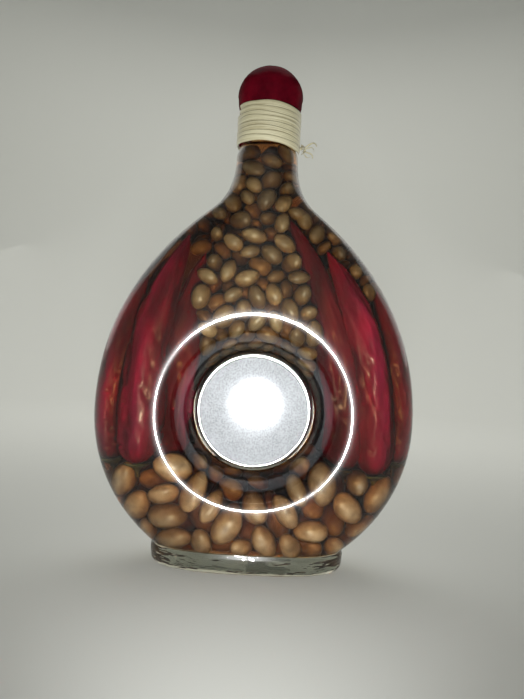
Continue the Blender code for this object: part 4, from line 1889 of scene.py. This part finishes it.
@dataclass
class RaffiaWrap:
    """Two flat raffia strands wound tightly round the neck, with their knot and cut tails."""

    inner_radius: float = 0.0151
    pitch: float = 0.0046
    half_width: float = 0.00150
    thickness: float = 0.00050
    sway: float = 0.00060
    unevenness: float = 0.34
    lift: float = 0.00011
    tilt: float = 0.00034
    ridge_height: float = 0.00007
    fibre_taper: float = 0.45
    fibre_depth: float = 0.32
    steps_per_turn: int = 96
    section: int = 15
    straw: StrawRaffia = field(default_factory=StrawRaffia)

    def strand_points(self, start: float, end: float, first_angle: float, seed: float) -> np.ndarray:
        """Rows along a wound strand, each a closed flat section with fine ridges.

        Args:
            start: The height of its lower end.
            end: The height of its upper end.
            first_angle: Where round the neck it starts.
            seed: Where its ridges are read in the noise.

        Returns:
            Rows of points.
        """
        turns = (end - start) / self.pitch
        count = int(turns * self.steps_per_turn)
        points = np.zeros((count + 3, self.section + 1, 3))
        for i in range(count + 3):
            index = min(max(i - 1, 0), count)
            turn = index / self.steps_per_turn
            angle = first_angle + 2 * math.pi * turn
            closed = 0.02 if i in (0, count + 2) else 1.0
            way = Vector((math.cos(angle), -math.sin(angle), 0.0))
            flow = Vector((way.x * 0.7, way.y * 0.7, turn * 1.3 + seed))
            height = start + self.pitch * turn + self.sway * noise.noise(flow * 1.4)
            change = noise.noise(flow * 1.9 + Vector((5.0, 0.0, 0.0)))
            wide = self.half_width * (1.0 + self.unevenness * change)
            lift = self.lift * (1.0 + noise.noise(flow * 2.3 + Vector((0.0, 9.0, 0.0))))
            for j in range(self.section + 1):
                around = 2 * math.pi * (j % self.section) / self.section
                across = math.cos(around)
                over = math.sin(around)
                rough = noise.noise(Vector((across * 5.2, turn * 0.8 + seed * 3.0, seed)))
                ridge = self.ridge_height * rough
                tilt = self.tilt * across
                reach = self.inner_radius + lift + tilt + self.thickness * (0.55 + 0.45 * over)
                reach += ridge if over > 0 else 0.0
                middle = self.inner_radius + lift + 0.5 * self.thickness
                reach = middle + (reach - middle) * closed
                points[i, j] = way * reach + Vector((0.0, 0.0, height + across * wide * closed))
        return points

    def wisp(self, fibre: Fibre, x: float, z: float) -> Piece:
        """Builds one short flat fibre.

        Args:
            fibre: Its route, half width and curl.
            x: How far from the axis the knot is.
            z: The knot's height.

        Returns:
            The fibre.
        """
        route = [(x + step_x, y, z + step_z) for step_x, y, step_z in fibre.route]
        known = np.linspace(0.0, 1.0, len(route))
        count, sides = 26, 8
        share = np.linspace(0.0, 1.0, count)
        fit = np.polyfit(known, np.array(route), min(3, len(route) - 1))
        centre = np.stack([np.polyval(fit[:, axis], share) for axis in range(3)], axis=-1)
        points = np.zeros((count + 2, sides + 1, 3))
        for i in range(count + 2):
            index = min(max(i - 1, 0), count - 1)
            after, before = min(index + 1, count - 1), max(index - 1, 0)
            ahead = Vector(centre[after] - centre[before]).normalized()
            side = ahead.cross(Vector((0.3, -0.2, 1.0))).normalized()
            up = side.cross(ahead)
            turn = fibre.curl * share[index]
            flat = side * math.cos(turn) + up * math.sin(turn)
            thin = ahead.cross(flat)
            closed = 0.0 if i in (0, count + 1) else 1.0
            taper = (1.0 - self.fibre_taper * share[index]) * closed
            for j in range(sides + 1):
                around = 2 * math.pi * (j % sides) / sides
                spot = Vector(centre[index]) + flat * (math.cos(around) * fibre.width * taper)
                points[i, j] = spot + thin * (math.sin(around) * fibre.width * self.fibre_depth * taper)
        piece = laid_grid(fibre.name, points)
        weld(piece, 0.000001)
        return piece

    def build(self) -> None:
        """Builds the strands, the knot and the tails."""
        material = self.straw.material()
        low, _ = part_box("raffia_first_strand")
        _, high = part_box("raffia_second_strand")
        bottom, top = low[2] + self.half_width * 0.72, high[2] - self.half_width * 0.62
        half = self.pitch / 2
        wraps = (
            ("raffia_wrap_first", bottom, top - half, 0.0, 1.3, "raffia_first_strand"),
            ("raffia_wrap_second", bottom + half, top, 0.0, 6.1, "raffia_second_strand"),
        )
        for name, start, end, angle, seed, node in wraps:
            strand = laid_grid(name, self.strand_points(start, end, angle, seed))
            weld(strand, 0.000002)
            smooth(strand, 70.0)
            strand.data.materials.append(material)
            finish_piece(strand, "bottle", (node,))

        low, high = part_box("raffia_knot")
        x, z = high[0], (low[2] + high[2]) / 2
        for name, node, fibres in (
            ("raffia_bow_knot", "raffia_knot", KNOT_FIBRES),
            ("raffia_tail_upper", "raffia_upper_tail", UPPER_TAIL_FIBRES),
            ("raffia_tail_lower", "raffia_lower_tail", LOWER_TAIL_FIBRES),
        ):
            piece = joined(name, [self.wisp(fibre, x, z) for fibre in fibres])
            smooth(piece, 70.0)
            piece.data.materials.append(material)
            finish_piece(piece, "bottle", (node,))


# ---- studio -----------------------------------------------------------------------------------
@dataclass(frozen=True)
class Lamp:
    """A soft area lamp."""

    name: str
    place: Point
    target: Point
    size: float
    watts: float
    colour: Colour = (1.0, 1.0, 1.0)
    round_shape: bool = False
    spread: float = 180.0


SOFT_WHITE: Colour = (1.0, 0.985, 0.96)


@dataclass
class Studio:
    """Floor, seamless backdrop, lamps, sky and camera."""

    eye: Point = (0.0024, -0.285, 0.1064)
    roll: float = -3.1
    lens: float = 29.36
    sensor: float = 36.0
    near: float = 0.01
    sky: Colour = (0.90, 0.93, 1.0)
    sky_strength: float = 0.14
    lamps: tuple[Lamp, ...] = (
        Lamp(
            "front_lamp", (0.000, -0.292, 0.058), (0.0, 0.0, 0.086), 0.032, 0.265,
            round_shape=True, spread=66.0,
        ),
        Lamp("left_back_softbox", (-0.85, 0.70, 0.50), (0.0, 0.0, 0.12), 0.95, 1.7, SOFT_WHITE),
        Lamp("right_back_softbox", (0.85, 0.70, 0.50), (0.0, 0.0, 0.12), 0.95, 1.7, SOFT_WHITE),
        Lamp("floor_softbox", (0.0, 0.42, 1.00), (0.0, 0.42, 0.0), 0.90, 4.3, SOFT_WHITE),
        Lamp("wall_softbox", (0.0, 0.40, 0.80), (0.0, 1.40, 0.25), 0.90, 3.5, SOFT_WHITE),
        Lamp("front_wall_softbox", (0.0, -0.60, 0.90), (0.0, -1.40, 0.25), 0.60, 2.6, SOFT_WHITE),
    )
    floor: StudioFloor = field(default_factory=StudioFloor)

    def build_backdrop(self) -> None:
        """Builds the round floor that sweeps up into a wall far behind, on every side."""
        flat, sweep, height = 0.75, 0.55, 1.9
        profile = [(0.0, 0.0), (0.3, 0.0), (0.6, 0.0)]
        for step in range(13):
            angle = math.pi / 2 * step / 12
            profile.append((flat + sweep * math.sin(angle), sweep * (1 - math.cos(angle))))
        profile += [(flat + sweep, 1.2), (flat + sweep, height)]
        floor = turned("studio_cove", profile, 96)
        floor.data.flip_normals()
        floor.data.materials.append(self.floor.material())

    def build_lamps(self) -> None:
        """Builds the lamps."""
        for lamp in self.lamps:
            data = bpy.data.lights.new(lamp.name, "AREA")
            data.shape = "DISK" if lamp.round_shape else "SQUARE"
            data.size = lamp.size
            data.energy = lamp.watts
            data.color = lamp.colour
            data.spread = math.radians(lamp.spread)
            light = bpy.data.objects.new(lamp.name, data)
            bpy.context.scene.collection.objects.link(light)
            light.location = lamp.place
            light.visible_camera = False
            way = Vector(lamp.target) - Vector(lamp.place)
            light.rotation_euler = way.to_track_quat("-Z", "Y").to_euler()

    def build_sky(self) -> None:
        """Sets an even pale sky."""
        world = bpy.data.worlds.new("studio_sky")
        world.use_nodes = True
        shade = world.node_tree.nodes["Background"]
        shade.inputs["Color"].default_value = (*self.sky, 1.0)
        shade.inputs["Strength"].default_value = self.sky_strength
        bpy.context.scene.world = world

    def build_camera(self) -> None:
        """Places the camera square to the flask's front."""
        data = bpy.data.cameras.new("camera")
        data.lens = self.lens
        data.sensor_width = self.sensor
        data.clip_start = self.near
        camera = bpy.data.objects.new("camera", data)
        bpy.context.scene.collection.objects.link(camera)
        camera.location = self.eye
        camera.rotation_euler = (math.pi / 2, math.radians(self.roll), 0.0)
        bpy.context.scene.camera = camera

    def build(self) -> None:
        """Builds the whole studio."""
        bpy.context.scene.view_settings.view_transform = "Standard"
        self.build_camera()
        self.build_sky()
        self.build_lamps()
        self.build_backdrop()


def main() -> None:
    """Builds the studio and every piece in order."""
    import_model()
    Studio().build()
    flask = GlassFlask()
    flask.build_glass()
    oil = flask.build_oil()
    pods = Chillies().build()
    Beans(BeanPacker(Solids(oil, pods))).build()
    FrontDisc().build()
    Stopper().build()
    RaffiaWrap().build()


if __name__ == "__main__":
    main()
